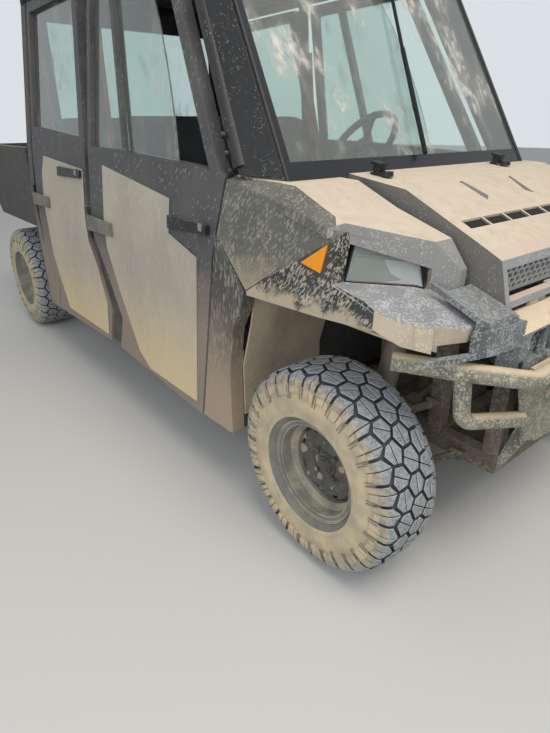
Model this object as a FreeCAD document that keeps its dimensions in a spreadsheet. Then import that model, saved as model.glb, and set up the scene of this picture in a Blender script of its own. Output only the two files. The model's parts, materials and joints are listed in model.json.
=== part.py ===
import FreeCAD, Part
import os
import re
from math import atan2, sin, tan

import Sketcher
from FreeCAD import Vector

# A crew utility vehicle with side by side seats, in millimetres: +X forward, +Y to its left, +Z up,
# and the origin on the ground under the middle of its outer box.
# Most pieces are drawn from the front axle's foot: their X is ahead of the front axle, so what lies
# behind it is negative. The load bed and the rear corners are drawn from the rear axle's foot.

os.makedirs("parts", exist_ok=True)
doc = FreeCAD.newDocument("crew_utility_vehicle")
sheet = doc.addObject("Spreadsheet::Sheet", "Sizes")

SIZES = (
    # Stance
    ("wheelbase", 2900), ("front_overhang", 470), ("rear_overhang", 430),
    ("tyre_radius", 330), ("tyre_span", 1506), ("front_tyre_width", 229), ("rear_tyre_width", 279),
    ("rim_radius", 152), ("front_rim_width", 178), ("rear_rim_width", 203), ("rim_lip", 16),
    ("rim_wall", 6), ("hub_radius", 50), ("hub_reach", 33), ("seat_gap", 0.3),
    ("tread_depth", 12), ("lug_length", 46), ("vent_radius", 10),
    # Hubs, knuckles and springs
    ("hub_face", 603.5), ("knuckle_depth", 63), ("knuckle_length", 64), ("knuckle_rise", 166),
    ("kingpin_inset", 68.5), ("ball_radius", 20), ("ball_rise", 34), ("arm_radius", 13),
    ("arm_spread", 220), ("spring_radius", 35), ("shock_foot", 430), ("bush_radius", 16),
    ("shaft_height", 430), ("shaft_radius", 14), ("boot_radius", 34),
    # Frame
    ("ground_clearance", 300), ("rail_rise", 60), ("rail_width", 50), ("rail_track", 500),
    ("rail_nose", 340), ("rail_tail", 330), ("skid_plate", 6), ("tower_top", 800),
    ("tower_half", 360), ("tower_plate", 25),
    # Cab shell
    ("panel", 12), ("waist_half", 745), ("belt_inset", 30), ("eave_inset", 127),
    ("sill_low", 268), ("waist_height", 900), ("belt_height", 1200), ("eave_height", 1845),
    ("roof_rise", 85), ("door_thick", 45), ("door_gap", 8), ("tub_gap", 10),
    ("pillar_front", 440), ("pillar_slope", 0.595), ("pillar_gap", 18), ("cage_radius", 25),
    ("front_door_rear", 1470), ("post_width", 26), ("cab_tail_gap", 555), ("screen_foot", 237),
    ("screen_foot_height", 1168), ("screen_foot_inset", 105), ("screen_head_inset", 30),
    ("glass", 6), ("firewall", 395), ("sill_width", 80), ("sill_rise", 150),
    # Nose
    ("hood_half", 410), ("hood_nose", 350), ("hood_tail", 205), ("hood_skin", 25),
    ("nose_low", 868), ("arch_height", 830), ("fender_skin", 25), ("fender_inset", 30),
    ("guard_radius", 25), ("guard_drop", 123), ("fascia_front", 402), ("web", 6), ("brow", 6),
    ("inset_rise", 5),
    # Seats and controls
    ("seat_inset", 115), ("seat_height", 640), ("cushion_rise", 130), ("cushion_depth", 520),
    ("back_thick", 110), ("back_top", 1330), ("front_seat_front", 930), ("rear_seat_front", 1690),
    ("wheel_reach", 840), ("wheel_side", 350), ("wheel_height", 1190), ("wheel_radius", 175),
    ("wheel_grip", 15), ("column_tilt", 52), ("column_length", 420), ("column_radius", 26),
    # Load bed, from the rear axle
    ("bed_inset", 25), ("bed_front", 500), ("bed_rear", 378), ("bed_floor", 850),
    ("bed_base", 50), ("bed_wall", 40), ("bed_rail", 1180), ("bed_skirt", 740),
    ("gate_thick", 40), ("gate_gap", 2), ("bed_pivot_back", 300), ("bed_pivot_height", 760),
    ("pivot_radius", 16), ("gate_hinge_radius", 9),
    # Fittings
    ("fitting_rise", 17), ("hinge_radius", 9), ("hinge_out", 7), ("hinge_low", 855),
    ("hinge_high", 923), ("rear_hinge_lift", 34), ("receiver_width", 64), ("receiver_bore", 51),
    ("pin_bore", 8),
)

for row, (alias, size) in enumerate(SIZES, 1):
    sheet.set(f"A{row}", alias)
    sheet.set(f"B{row}", str(size))
    sheet.setAlias(f"B{row}", alias)
doc.recompute()
ALIASES = {alias for alias, size in SIZES}

# Lengths that follow from other sizes, each opened up wherever its name stands in a formula
DERIVED = {
    "belt_half": "(waist_half - belt_inset)", "eave_half": "(waist_half - eave_inset)",
    "fender_half": "(waist_half - fender_inset)", "seat_half": "(waist_half - seat_inset)",
    "bed_half": "(waist_half - bed_inset)", "screen_foot_half": "(waist_half - screen_foot_inset)",
    "screen_head_half": "(waist_half - eave_inset - screen_head_inset)",
    "roof_height": "(eave_height + roof_rise)", "guard_height": "(nose_low - guard_drop)",
}

# Places that follow from the sizes, as formulas of the sheet
FRONT_AXLE = "((wheelbase + front_overhang + rear_overhang) / 2 - front_overhang)"
REAR_AXLE = f"({FRONT_AXLE} - wheelbase)"
CAB_TAIL = "(-(wheelbase - cab_tail_gap))"
RAIL_TOP = "(ground_clearance + rail_rise)"
FLOOR_TOP = f"({RAIL_TOP} + seat_gap + panel)"
TUB_HALF = "(waist_half - door_thick - tub_gap)"
KINGPIN = "(hub_face + seat_gap + knuckle_depth / 2 - kingpin_inset)"
REAR_DOOR_REAR = f"({CAB_TAIL} + 83)"
REAR_DOOR_FRONT = "(-(front_door_rear + post_width + 2 * door_gap))"


def formula(text):
    """The text with each of the sheet's names written as a reference to its cell."""
    opened = re.sub(r"[a-z_]+", lambda word: DERIVED.get(word[0], word[0]), str(text))
    return re.sub(r"[a-z_]+", lambda word: f"Sizes.{word[0]}" if word[0] in ALIASES else word[0],
                  opened)


def value(text):
    """The number that a formula comes to."""
    result = sheet.evalExpression(formula(text))
    return float(getattr(result, "Value", result))


def tie(item, path, text):
    """Bind one property of a document object to a formula of the sheet."""
    item.setExpression(path, formula(text))


def place(item, x="0", y="0", z="0"):
    """Put an object where three formulas say."""
    for axis, text in zip("xyz", (x, y, z)):
        if str(text) != "0":
            tie(item, f".Placement.Base.{axis}", text)


def body(label, x=FRONT_AXLE, y="0", z="0"):
    """An empty body at a place of its own."""
    piece = doc.addObject("PartDesign::Body", label)
    piece.Label = label
    place(piece, x, y, z)
    return piece


def corner_of(entry):
    """A point of an outline and the radius of the arc that starts there, or nought."""
    return value(entry[0]), value(entry[1]), value(entry[2]) if len(entry) > 2 else 0.0


def run_between(start, end, radius):
    """The line or arc from one point to the next; an arc with radius above nought turns left."""
    ends = [Vector(*point, 0) for point in (start, end)]
    if not radius:
        return Part.LineSegment(*ends), (1, 2)
    chord = ends[1] - ends[0]
    rise = (radius ** 2 - (chord.Length / 2) ** 2) ** 0.5
    left = Vector(-chord.y, chord.x, 0).normalize()
    centre = (ends[0] + ends[1]) * 0.5 + left * (rise if radius > 0 else -rise)
    angles = [atan2(point.y - centre.y, point.x - centre.x) for point in ends]
    circle = Part.Circle(centre, Vector(0, 0, 1), abs(radius))
    if radius > 0:
        return Part.ArcOfCircle(circle, angles[0], angles[1]), (1, 2)
    return Part.ArcOfCircle(circle, angles[1], angles[0]), (2, 1)


def draw(drawing, outline):
    """Draw one closed outline of (along, up) or (along, up, arc radius) points, each tied down."""
    points = [corner_of(entry) for entry in outline]
    first = drawing.GeometryCount
    ends = []
    for index, (along, up, radius) in enumerate(points):
        after = points[(index + 1) % len(points)]
        run, order = run_between((along, up), after[:2], radius)
        drawing.addGeometry(run, False)
        ends.append(order)
    for index, entry in enumerate(outline):
        this = first + index
        after = first + (index + 1) % len(points)
        begin, end = ends[index]
        drawing.addConstraint(Sketcher.Constraint(
            "Coincident", this, end, after, ends[(index + 1) % len(points)][0]))
        rules = [("DistanceX", begin, entry[0]), ("DistanceY", begin, entry[1])]
        for kind, point, text in rules:
            number = drawing.addConstraint(Sketcher.Constraint(kind, this, point, value(text)))
            tie(drawing, f"Constraints[{number}]", text)
        if points[index][2]:
            number = drawing.addConstraint(Sketcher.Constraint("Radius", this, abs(points[index][2])))
            tie(drawing, f"Constraints[{number}]", f"abs({entry[2]})")


def disc(drawing, along, up, radius):
    """Draw one circle, its centre and radius tied down."""
    centre = Vector(value(along), value(up), 0)
    circle = drawing.addGeometry(Part.Circle(centre, Vector(0, 0, 1), value(radius)), False)
    for kind, text in (("DistanceX", along), ("DistanceY", up)):
        number = drawing.addConstraint(Sketcher.Constraint(kind, circle, 3, value(text)))
        tie(drawing, f"Constraints[{number}]", text)
    number = drawing.addConstraint(Sketcher.Constraint("Radius", circle, value(radius)))
    tie(drawing, f"Constraints[{number}]", radius)


def sketch(owner, plane, rise, outlines=(), discs=()):
    """A sketch on one of the body's own planes (XY, XZ or YZ), at a height along the third axis."""
    drawing = owner.newObject("Sketcher::SketchObject", f"{owner.Name}_outline")
    ground = next(item for item in owner.Origin.OriginFeatures if item.Role == f"{plane}_Plane")
    drawing.AttachmentSupport = [(ground, "")]
    drawing.MapMode = "FlatFace"
    sign = "-1" if plane == "XZ" else "1"
    tie(drawing, ".AttachmentOffset.Base.z", f"{sign} * ({rise})")
    for outline in outlines:
        draw(drawing, outline)
    for entry in discs:
        disc(drawing, *entry)
    return drawing


def slab(owner, plane, low, high, outlines=(), discs=()):
    """Add the outlines as solid between two heights along the plane's third axis."""
    drawing = sketch(owner, plane, low, outlines, discs)
    pad = owner.newObject("PartDesign::Pad", f"{owner.Name}_pad")
    pad.Profile = drawing
    pad.Reversed = plane == "XZ"
    tie(pad, "Length", f"({high}) - ({low})")
    return pad


CUTS = []


def cut(owner, plane, low, high, outlines=(), discs=()):
    """Cut the outlines away between two heights along the plane's third axis."""
    before = owner.Tip
    drawing = sketch(owner, plane, low, outlines, discs)
    pocket = owner.newObject("PartDesign::Pocket", f"{owner.Name}_cut")
    pocket.Profile = drawing
    pocket.Reversed = plane != "XZ"
    tie(pocket, "Length", f"({high}) - ({low})")
    CUTS.append((before, pocket))
    return pocket


def revolve(owner, outline):
    """Turn an outline of (across, radius) points about the body's own Y axis."""
    drawing = sketch(owner, "YZ", "0", [outline])
    turned = owner.newObject("PartDesign::Revolution", f"{owner.Name}_turned")
    turned.Profile = drawing
    turned.ReferenceAxis = (drawing, ["H_Axis"])
    turned.Angle = 360
    return turned


def loft(owner, sections, plane="XY"):
    """A straight loft through outlines on parallel planes, each given as (height, outline)."""
    drawings = [sketch(owner, plane, height, [outline]) for height, outline in sections]
    shape = owner.newObject("PartDesign::AdditiveLoft", f"{owner.Name}_loft")
    shape.Profile = drawings[0]
    shape.Sections = drawings[1:]
    shape.Ruled = True
    return shape


def box(x0, x1, y0, y1):
    """The outline of a rectangle."""
    return [(x0, y0), (x1, y0), (x1, y1), (x0, y1)]


def mirrored(label, source):
    """The same piece on the vehicle's right side."""
    twin = doc.addObject("Part::Mirroring", label)
    twin.Label = label
    twin.Source = source
    twin.Normal = Vector(0, 1, 0)
    return twin


def gather(label, items):
    """One node of solids that don't touch each other."""
    group = doc.addObject("Part::Compound", label)
    group.Label = label
    group.Links = items
    return group


def pair(label, source):
    """One node of a left piece and its mirror image."""
    return gather(label, [source, mirrored(f"{label}_right_half", source)])


def shared(label, parts):
    """What several solids have in common."""
    solid = doc.addObject("Part::MultiCommon", label)
    solid.Label = label
    solid.Shapes = parts
    return solid


def fused(label, items):
    """One solid of several that overlap."""
    group = doc.addObject("Part::MultiFuse", label)
    group.Label = label
    group.Shapes = items
    return group


def tube(label, route, radius, corner=None, x=FRONT_AXLE):
    """A round bar along a route of straight runs with a tangent arc at each inner corner."""
    points = [Vector(*(value(text) for text in point)) for point in route]
    thick = value(radius)
    edges = []
    start = points[0]
    for index in range(1, len(points) - 1):
        before = (points[index - 1] - points[index]).normalize()
        after = (points[index + 1] - points[index]).normalize()
        half = before.getAngle(after) / 2
        bend = value(corner) if corner else 2.5 * thick
        reach = bend / tan(half)
        enter = points[index] + before * reach
        leave = points[index] + after * reach
        middle = points[index] + (before + after).normalize() * (bend / sin(half) - bend)
        edges.append(Part.LineSegment(start, enter).toShape())
        edges.append(Part.Arc(enter, middle, leave).toShape())
        start = leave
    edges.append(Part.LineSegment(start, points[-1]).toShape())
    path = Part.Wire(edges)
    ring = Part.Wire(Part.Circle(points[0], points[1] - points[0], thick).toShape())
    bar = doc.addObject("Part::Feature", label)
    bar.Label = label
    bar.Shape = path.makePipeShell([ring], True, False)
    place(bar, x)
    return bar


def post(label, radius, height, x, y, z):
    """An upright round bar standing on a point."""
    pin = doc.addObject("Part::Cylinder", label)
    pin.Label = label
    tie(pin, "Radius", radius)
    tie(pin, "Height", height)
    place(pin, x, y, z)
    return pin


def fore_bar(label, radius, length, x, y, z):
    """A round bar along the vehicle, from its rear end."""
    bar = doc.addObject("Part::Cylinder", label)
    bar.Label = label
    bar.Placement.Rotation = FreeCAD.Rotation(Vector(0, 1, 0), 90)
    tie(bar, "Radius", radius)
    tie(bar, "Height", length)
    place(bar, x, y, z)
    return bar


def side_bar(label, radius, low, high, x, z):
    """A round bar across the vehicle, between two distances from its middle."""
    bar = doc.addObject("Part::Cylinder", label)
    bar.Label = label
    bar.Placement.Rotation = FreeCAD.Rotation(Vector(1, 0, 0), -90)
    tie(bar, "Radius", radius)
    tie(bar, "Height", f"({high}) - ({low})")
    place(bar, x, low, z)
    return bar


def shell_band(outer, inner):
    """The cab side's cross section between two depths under its skin, as (across, up) points."""
    levels = (("waist_half", "sill_low - 20"), ("waist_half", "waist_height"),
              ("belt_half", "belt_height"), ("eave_half", "eave_height"))
    outside = [(f"{half} - ({outer})", height) for half, height in levels]
    inside = [(f"{half} - ({inner})", height) for half, height in reversed(levels)]
    return outside + inside


def side_panel(owner, front, rear, outer, inner, outlines):
    """A panel that follows the cab side's cross section, with the given side outlines."""
    slab(owner, "YZ", rear, front, [shell_band(outer, inner)])
    around = box(f"({rear}) - 50", f"({front}) + 50", "0", "2 * roof_height")
    for outline in outlines[:1]:
        cut(owner, "XZ", "0", "waist_half + 100", [around, outline])


def leaning(owner, face, ends, levels, inner, outer, outline):
    """A plate between two depths under a leaning side face, with the given side outline."""
    low, high = levels
    loft(owner, [(along, [
        (f"{face(along, low)} - ({inner})", low), (f"{face(along, low)} - ({outer})", low),
        (f"{face(along, high)} - ({outer})", high), (f"{face(along, high)} - ({inner})", high)])
        for along in ends], "YZ")
    around = box(f"({ends[0]}) - 50", f"({ends[-1]}) + 50", f"({low}) - 50", f"({high}) + 50")
    cut(owner, "XZ", "0", "waist_half + 100", [around, outline])


def trimmed(owner, line, above=True, gap="0"):
    """Cut away what lies above, or below, a line of (along, up) points on the side view."""
    far = f"{line[0][1]} + 400" if above else f"{line[-1][1]} - 400"
    cut(owner, "XZ", "0", "waist_half + 100", [[
        *((along, f"{up} + {gap}") for along, up in line), (line[-1][0], far), (line[0][0], far)]])


def honeycomb(owner, low, high, pitch, columns, levels):
    """Cut staggered rows of long hexagons through a plate that faces along the vehicle."""
    for number, level in enumerate(levels):
        start = f"-{pitch} * {(columns - 1) / 2 - (0.25 if number % 2 else -0.25)}"
        hole = cut(owner, "YZ", low, high, [[
            (f"{start} + {across}", f"{level} + {up}")
            for across, up in ((-11, 0), (-6, -5.5), (6, -5.5), (11, 0), (6, 5.5), (-6, 5.5))]])
        row = owner.newObject("PartDesign::LinearPattern", f"{owner.Name}_row")
        row.Originals = [hole]
        row.Direction = (hole.Profile[0], ["H_Axis"])
        tie(row, "Length", f"{pitch} * {columns - 1}")
        row.Occurrences = columns
        owner.Tip = row


# Frame: two rails over a skid plate, cross members, spring towers, bulkhead and bed pivot posts

frame = body("chassis_frame")
RAIL_INNER = "(rail_track / 2 - rail_width / 2)"
RAIL_OUTER = "(rail_track / 2 + rail_width / 2)"
RAIL_END = "(-(wheelbase + rail_tail))"
slab(frame, "XY", "ground_clearance", "ground_clearance + skid_plate",
     [box(RAIL_END, "rail_nose", f"-{RAIL_OUTER}", RAIL_OUTER)])
for inner, outer in ((RAIL_INNER, RAIL_OUTER), (f"-{RAIL_OUTER}", f"-{RAIL_INNER}")):
    slab(frame, "XY", "ground_clearance", RAIL_TOP, [box(RAIL_END, "rail_nose", inner, outer)])
CROSS_MEMBERS = (
    ("rail_nose - rail_width", "rail_nose"), ("85", "135"), ("-135", "-85"),
    ("-wheelbase / 2 - 25", "-wheelbase / 2 + 25"), ("-wheelbase / 3 + 25", "-wheelbase / 3 - 25"),
    ("-wheelbase + 85", "-wheelbase + 135"), ("-wheelbase - 135", "-wheelbase - 85"),
    (RAIL_END, f"{RAIL_END} + rail_width"),
)
for rear, front in CROSS_MEMBERS:
    slab(frame, "XY", "ground_clearance", RAIL_TOP,
         [box(rear, front, f"-{RAIL_INNER} - 1", f"{RAIL_INNER} + 1")])
for axle in ("0", "-wheelbase"):
    slab(frame, "XY", f"{RAIL_TOP} - 1", "tower_top - seat_gap", [
        box(f"{axle} + {fore} * 110 - 25", f"{axle} + {fore} * 110 + 25",
            f"{side} * rail_track / 2 - rail_width / 2", f"{side} * rail_track / 2 + rail_width / 2")
        for fore in (-1, 1) for side in (-1, 1)])
    slab(frame, "XY", "tower_top - seat_gap - tower_plate", "tower_top - seat_gap",
         [box(f"{axle} - 135", f"{axle} + 135", "-tower_half", "tower_half")])
slab(frame, "XY", f"{RAIL_TOP} - 1", "nose_low - 20", [
    box("rail_nose - rail_width", "rail_nose", f"{side} * rail_track / 2 - rail_width / 2",
        f"{side} * rail_track / 2 + rail_width / 2") for side in (-1, 1)])
slab(frame, "XY", "nose_low - 60", "nose_low - 20",
     [box("rail_nose - rail_width", "rail_nose", "-hood_half", "hood_half")])
slab(frame, "XY", f"{RAIL_TOP} - 1", "bed_pivot_height - 22", [
    box("-wheelbase - bed_pivot_back - 30", "-wheelbase - bed_pivot_back + 30",
        f"{side} * rail_track / 2 - rail_width / 2", f"{side} * rail_track / 2 + rail_width / 2")
    for side in (-1, 1)])
for side in (1, -1):
    inner, outer = sorted((f"{side} * (rail_track / 2 - 1)", f"{side} * {RAIL_INNER}"), key=value)
    slab(frame, "XZ", inner, outer, [], [
        ("-wheelbase - bed_pivot_back", "bed_pivot_height", "pivot_radius")])
    slab(frame, "XZ", inner, outer, [box(
        "-wheelbase - bed_pivot_back - pivot_radius", "-wheelbase - bed_pivot_back + pivot_radius",
        "bed_pivot_height - 30", "bed_pivot_height")])

# Cab tub: floor, sills, firewall, cowl and the lower door posts with their hinge barrels

tub = body("cab_tub")
slab(tub, "XY", f"{RAIL_TOP} + seat_gap", FLOOR_TOP,
     [box(CAB_TAIL, "-firewall", f"-{TUB_HALF}", TUB_HALF)])
slab(tub, "YZ", "-firewall - panel", "-firewall",
     [[(f"-{TUB_HALF}", f"{RAIL_TOP} + seat_gap"), (TUB_HALF, f"{RAIL_TOP} + seat_gap"),
       (TUB_HALF, "screen_foot_height - 78"), (f"{TUB_HALF} - 22", "screen_foot_height - 64"),
       (f"{TUB_HALF} - 22", "screen_foot_height - 39"), (f"-{TUB_HALF} + 22", "screen_foot_height - 39"),
       (f"-{TUB_HALF} + 22", "screen_foot_height - 64"), (f"-{TUB_HALF}", "screen_foot_height - 78")]])
slab(tub, "XY", "screen_foot_height - 40", "screen_foot_height - 28",
     [box("-firewall - panel", "-screen_foot + 20", "-screen_foot_half", "screen_foot_half")])
DOOR_POST = (
    # along, up: the post's front edge upward, then its rear edge downward
    ("-1338", "330"), ("-1271", "484"), ("-1372", "670"), ("-front_door_rear - door_gap", "838"),
    ("-front_door_rear - door_gap", "hinge_high + 50"),
    ("-front_door_rear - door_gap - post_width", "hinge_high + 50"),
    ("-front_door_rear - door_gap - post_width", "800"), ("-1450", "654"), ("-1378", "474"),
    ("-1432", "330"),
)
HINGE_AXIS = "(-front_door_rear - door_gap - post_width / 2)"
HINGE_OUT = "(waist_half + hinge_out)"
for side, inner in ((1, f"{TUB_HALF} - sill_width"), (-1, f"-{TUB_HALF}")):
    slab(tub, "XZ", inner, f"({inner}) + sill_width",
         [box(CAB_TAIL, "-firewall", "sill_low + 20", f"{FLOOR_TOP} + 68")])
for low, high in ((TUB_HALF, "belt_half + 20"), ("-(belt_half + 20)", f"-{TUB_HALF}")):
    slab(tub, "XZ", low, high, [DOOR_POST])
BARRELS = (("hinge_low - seat_gap - 36", "hinge_low - seat_gap"),
           ("hinge_high + seat_gap", "hinge_high + seat_gap + 36"))
for low, high in BARRELS:
    for side in (1, -1):
        slab(tub, "XY", low, high, [], [(HINGE_AXIS, f"{side} * {HINGE_OUT}", "hinge_radius")])
        slab(tub, "XY", low, high, [box(f"{HINGE_AXIS} - 6", f"{HINGE_AXIS} + 6",
                                        f"{side} * (belt_half + 5)", f"{side} * {HINGE_OUT}")])

# Doors, drawn on the left side: a shell with its windows cut, the glass, and handle and hinge

DIVIDER_FOOT = "-1105"
DIVIDER_HEAD = "-1262"
FRONT_DOOR = [
    ("-pillar_front + 28", "belt_height - 50"), ("-452", "985"), ("-600", "sill_low"),
    ("-1040", "sill_low + 32"), ("-1330", "sill_low + 50"), ("-1262", "482"), ("-1364", "667"),
    ("-front_door_rear", "835"), ("-front_door_rear", "eave_height"),
    ("-pillar_front - pillar_slope * (eave_height - belt_height + 35) ", "eave_height"),
    ("-pillar_front", "belt_height - 35"),
]
FRONT_WINDOW_REAR = [
    (f"{DIVIDER_FOOT} - 11", "belt_height + 2"), (f"{DIVIDER_HEAD} - 11", "eave_height - 45"),
    ("-front_door_rear + 34", "eave_height - 45"), ("-front_door_rear + 34", "belt_height + 8"),
]
FRONT_WINDOW_FRONT = [
    (f"{DIVIDER_FOOT} + 11", "belt_height"), (f"{DIVIDER_HEAD} + 11", "eave_height - 45"),
    ("-pillar_front - pillar_slope * (eave_height - belt_height) - 40", "eave_height - 45"),
    ("-pillar_front - 56", "belt_height - 32"),
]
SLIDING_PANE = [
    (f"{DIVIDER_FOOT} + 11", "belt_height"), (f"{DIVIDER_HEAD} + 11", "eave_height - 45"),
    ("-1010", "eave_height - 45", "-1900"), ("-716", "belt_height - 19.5"),
]
REAR_DOOR = [
    (REAR_DOOR_FRONT, "belt_height + 15"), (REAR_DOOR_FRONT, "800"), ("-1458", "657"),
    ("-1386", "475"), ("-1440", "sill_low + 52"), (f"{REAR_DOOR_REAR} + 72", "sill_low + 30"),
    (f"{REAR_DOOR_REAR} + 150", "457"), (REAR_DOOR_REAR, "650"), (REAR_DOOR_REAR, "eave_height"),
    (f"{REAR_DOOR_FRONT} - 86", "eave_height"),
]
REAR_WINDOW = [
    (f"{REAR_DOOR_FRONT} - 55", "belt_height + 40"), (f"{REAR_DOOR_REAR} + 40", "belt_height + 88"),
    (f"{REAR_DOOR_REAR} + 40", "eave_height - 45"), (f"{REAR_DOOR_FRONT} - 130", "eave_height - 45"),
]
GLASS_OUT = "(door_thick / 2 - glass / 2)"
GLASS_IN = "(door_thick / 2 + glass / 2)"


def door(name, front, rear, outline, windows, panes, inset, handle, handle_foot, hinge, axis, lift):
    """One side's door in its three nodes, and the same on the other side."""
    skin = body(f"{name}_skin")
    side_panel(skin, front, rear, "0", "door_thick", [outline])
    cut(skin, "XZ", "0", "waist_half + 100", windows)
    raised = body(f"{name}_inset")
    side_panel(raised, front, rear, "-inset_rise", "1", [inset])
    shell = fused(f"{name}_shell_left", [skin, raised])
    panels = []
    for number, pane in enumerate(panes):
        panel = body(f"{name}_pane_{number}")
        side_panel(panel, front, rear, GLASS_OUT, GLASS_IN, [pane])
        panels.append(panel)
    glazing = gather(f"{name}_glass_left", panels)
    grip = body(f"{name}_grip")
    side_panel(grip, front, rear, "-fitting_rise", handle_foot, [handle])
    leaf = body(f"{name}_leaf")
    side_panel(leaf, front, rear, "-fitting_rise", "-inset_rise", [hinge])
    slab(leaf, "XY", f"hinge_low + {lift}", f"hinge_high + {lift}", [],
         [(axis, HINGE_OUT, "hinge_radius")])
    fittings = gather(f"{name}_fittings_left", [grip, leaf])
    for node in (shell, glazing, fittings):
        mirrored(node.Label.replace("_left", "_right"), node)


FRONT_INSET = [
    ("-1310", "1142"), ("-1318", "800"), ("-1242", "628"), ("-1100", "372"), ("-1010", "sill_low + 50"),
    ("-624", "sill_low + 50"), ("-554", "892"), ("-742", "945"), ("-737", "1062"),
]
REAR_INSET = [
    (f"{REAR_DOOR_REAR} + 192", "1150"), (f"{REAR_DOOR_REAR} + 142", "1060"),
    (f"{REAR_DOOR_REAR} + 142", "640"), (f"{REAR_DOOR_REAR} + 192", "520"),
    (f"{REAR_DOOR_REAR} + 272", "sill_low + 82"), ("-1448", "sill_low + 82"), ("-1410", "520"),
    ("-1462", "680"), (f"{REAR_DOOR_FRONT} - 20", "800"), (f"{REAR_DOOR_FRONT} - 20", "1112"),
]
door("front_door", "-350", "-front_door_rear - 20", FRONT_DOOR,
     [FRONT_WINDOW_REAR, FRONT_WINDOW_FRONT], [FRONT_WINDOW_REAR, SLIDING_PANE], FRONT_INSET,
     [("-484", "975"), ("-484", "1003"), ("-732", "1008"), ("-732", "965")], "0",
     [("-1224", "hinge_low + 8"), ("-1224", "hinge_high - 8"), (f"{HINGE_AXIS} - 2", "hinge_high"),
      (f"{HINGE_AXIS} - 2", "hinge_low")], HINGE_AXIS, "0")
REAR_HINGE_AXIS = f"({REAR_DOOR_REAR} - door_gap - 4)"
door("rear_door", "-1300", f"{REAR_DOOR_REAR} - 20", REAR_DOOR, [REAR_WINDOW], [REAR_WINDOW], REAR_INSET,
     [("-1545", "1073"), ("-1545", "1106"), ("-1840", "1110"), ("-1840", "1068")], "-inset_rise",
     [(f"{REAR_HINGE_AXIS} + 260", "hinge_low + rear_hinge_lift + 8"),
      (f"{REAR_HINGE_AXIS} + 260", "hinge_high + rear_hinge_lift - 8"),
      (f"{REAR_HINGE_AXIS} - 2", "hinge_high + rear_hinge_lift - 3"),
      (f"{REAR_HINGE_AXIS} - 2", "hinge_low + rear_hinge_lift + 3")], REAR_HINGE_AXIS, "rear_hinge_lift")

# Rear corners of the cab behind the rear doors, with the rear doors' hinge barrels

corner = body("rear_corner")
side_panel(corner, "-1900", CAB_TAIL, "0", "panel", [[
    (f"{REAR_DOOR_REAR} + 64", "sill_low + 30"), (f"{REAR_DOOR_REAR} + 141", "457"),
    (f"{REAR_DOOR_REAR} - 9", "650"), (f"{REAR_HINGE_AXIS} - hinge_radius - 8", "700"),
    (f"{REAR_HINGE_AXIS} - hinge_radius - 8", "eave_height"), (CAB_TAIL, "eave_height"),
    (CAB_TAIL, "sill_low + 30")]])
for low, high in BARRELS:
    slab(corner, "XY", f"{low} + rear_hinge_lift", f"{high} + rear_hinge_lift", [],
         [(REAR_HINGE_AXIS, HINGE_OUT, "hinge_radius")])
    slab(corner, "XY", f"{low} + rear_hinge_lift", f"{high} + rear_hinge_lift",
         [box(f"{REAR_HINGE_AXIS} - 30", REAR_HINGE_AXIS, f"{HINGE_OUT} - 24", f"{HINGE_OUT} - 9")])
rear_corners = pair("rear_corner_panels", corner)

# Front fenders: top skin, leaning side, flare over the arch, and the brow and shelf round the lamp

FENDER_TOP = (
    # along, up: the top skin's line from the door to the lamp
    ("-pillar_front + 36", "screen_foot_height - 12"), ("-140", "1143"), ("10", "1082"),
    ("190", "1026"), ("245", "958"),
)
SHELF_TOP = (
    # along, up: the line of the shelf that the lamp stands on
    ("-80", "943"), ("35", "929"), ("165", "912"), ("350", "849"),
)
SEAM = (
    # along, up: where the flare meets the side, from the arch's rear to the lamp's upper corner
    ("-288", "arch_height + 7"), ("-176", "913"), ("-77", "977"), ("21", "1036"),
)
BROW_LINE = (
    # along, across: the top skin's front edge over the lamp
    ("12", "fender_half - 1"), ("190", "510"), ("245", "465"),
)
BEVEL = (
    # along, up: the top skin's bevel along the side, below the points of the line above
    ("-pillar_front + 36", "screen_foot_height - 23"), ("-140", "1096"), ("10", "1060"),
    ("190", "1010"), ("245", "945"),
)
TOP_EDGE = "(fender_half - 36)"


def side_face(along, up):
    """How far out the fender's upper side stands."""
    return f"waist_half - 13 - 0.0624 * ({along} + 445) - 0.1122 * ({up} - 1030)"


def flare_face(along, up):
    """How far out the flare stands."""
    return f"waist_half + 0.0102 * ({along} + 301) - 0.2345 * ({up} - arch_height - 4)"


def lowered(line, drop):
    """A line of (along, up) points moved down."""
    return [(along, f"{up} - ({drop})") for along, up in line]


top = body("fender_top")
slab(top, "XZ", "hood_half + 30", TOP_EDGE, [
    [*FENDER_TOP, *reversed(lowered(FENDER_TOP, "fender_skin"))]])
loft(top, [(TOP_EDGE, [*FENDER_TOP, *reversed(lowered(FENDER_TOP, "fender_skin"))]),
           ("fender_half - 3", [*BEVEL, *reversed(lowered(BEVEL, "fender_skin"))])], "XZ")
slab(top, "XZ", "hood_half + 30", "hood_half + 30 + fender_skin", [[
    ("-130", "1130"), ("10", "1070"), ("190", "1015"), ("244", "948"), ("244", "nose_low + 24"),
    ("120", "nose_low + 24")]])
cut(top, "XY", "nose_low", "belt_height", [[
    ("-500", "0"), ("300", "0"), ("300", "900"), ("-500", "900")], [
    ("-pillar_front - 10", "fender_half + 1"), ("12", "fender_half + 1"), *BROW_LINE[1:],
    ("245", "hood_half + 29"), ("-screen_foot + 26", "hood_half + 29"),
    ("-screen_foot + 26", "screen_foot_half + 5"), ("-pillar_front + 60", "screen_foot_half + 5"),
    ("-pillar_front - 10", "screen_foot_half + 5")]])
side_plate = body("fender_side")
leaning(side_plate, side_face, ("-450", "60"), ("800", "1170"), "fender_skin", "0", [
    *BEVEL[:3], ("51", "1047"), ("51", "1010"), *reversed(lowered(SEAM[1:3], "20")),
    SEAM[0], ("-pillar_front - 4", "978")])
flare = body("fender_flare")
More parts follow.
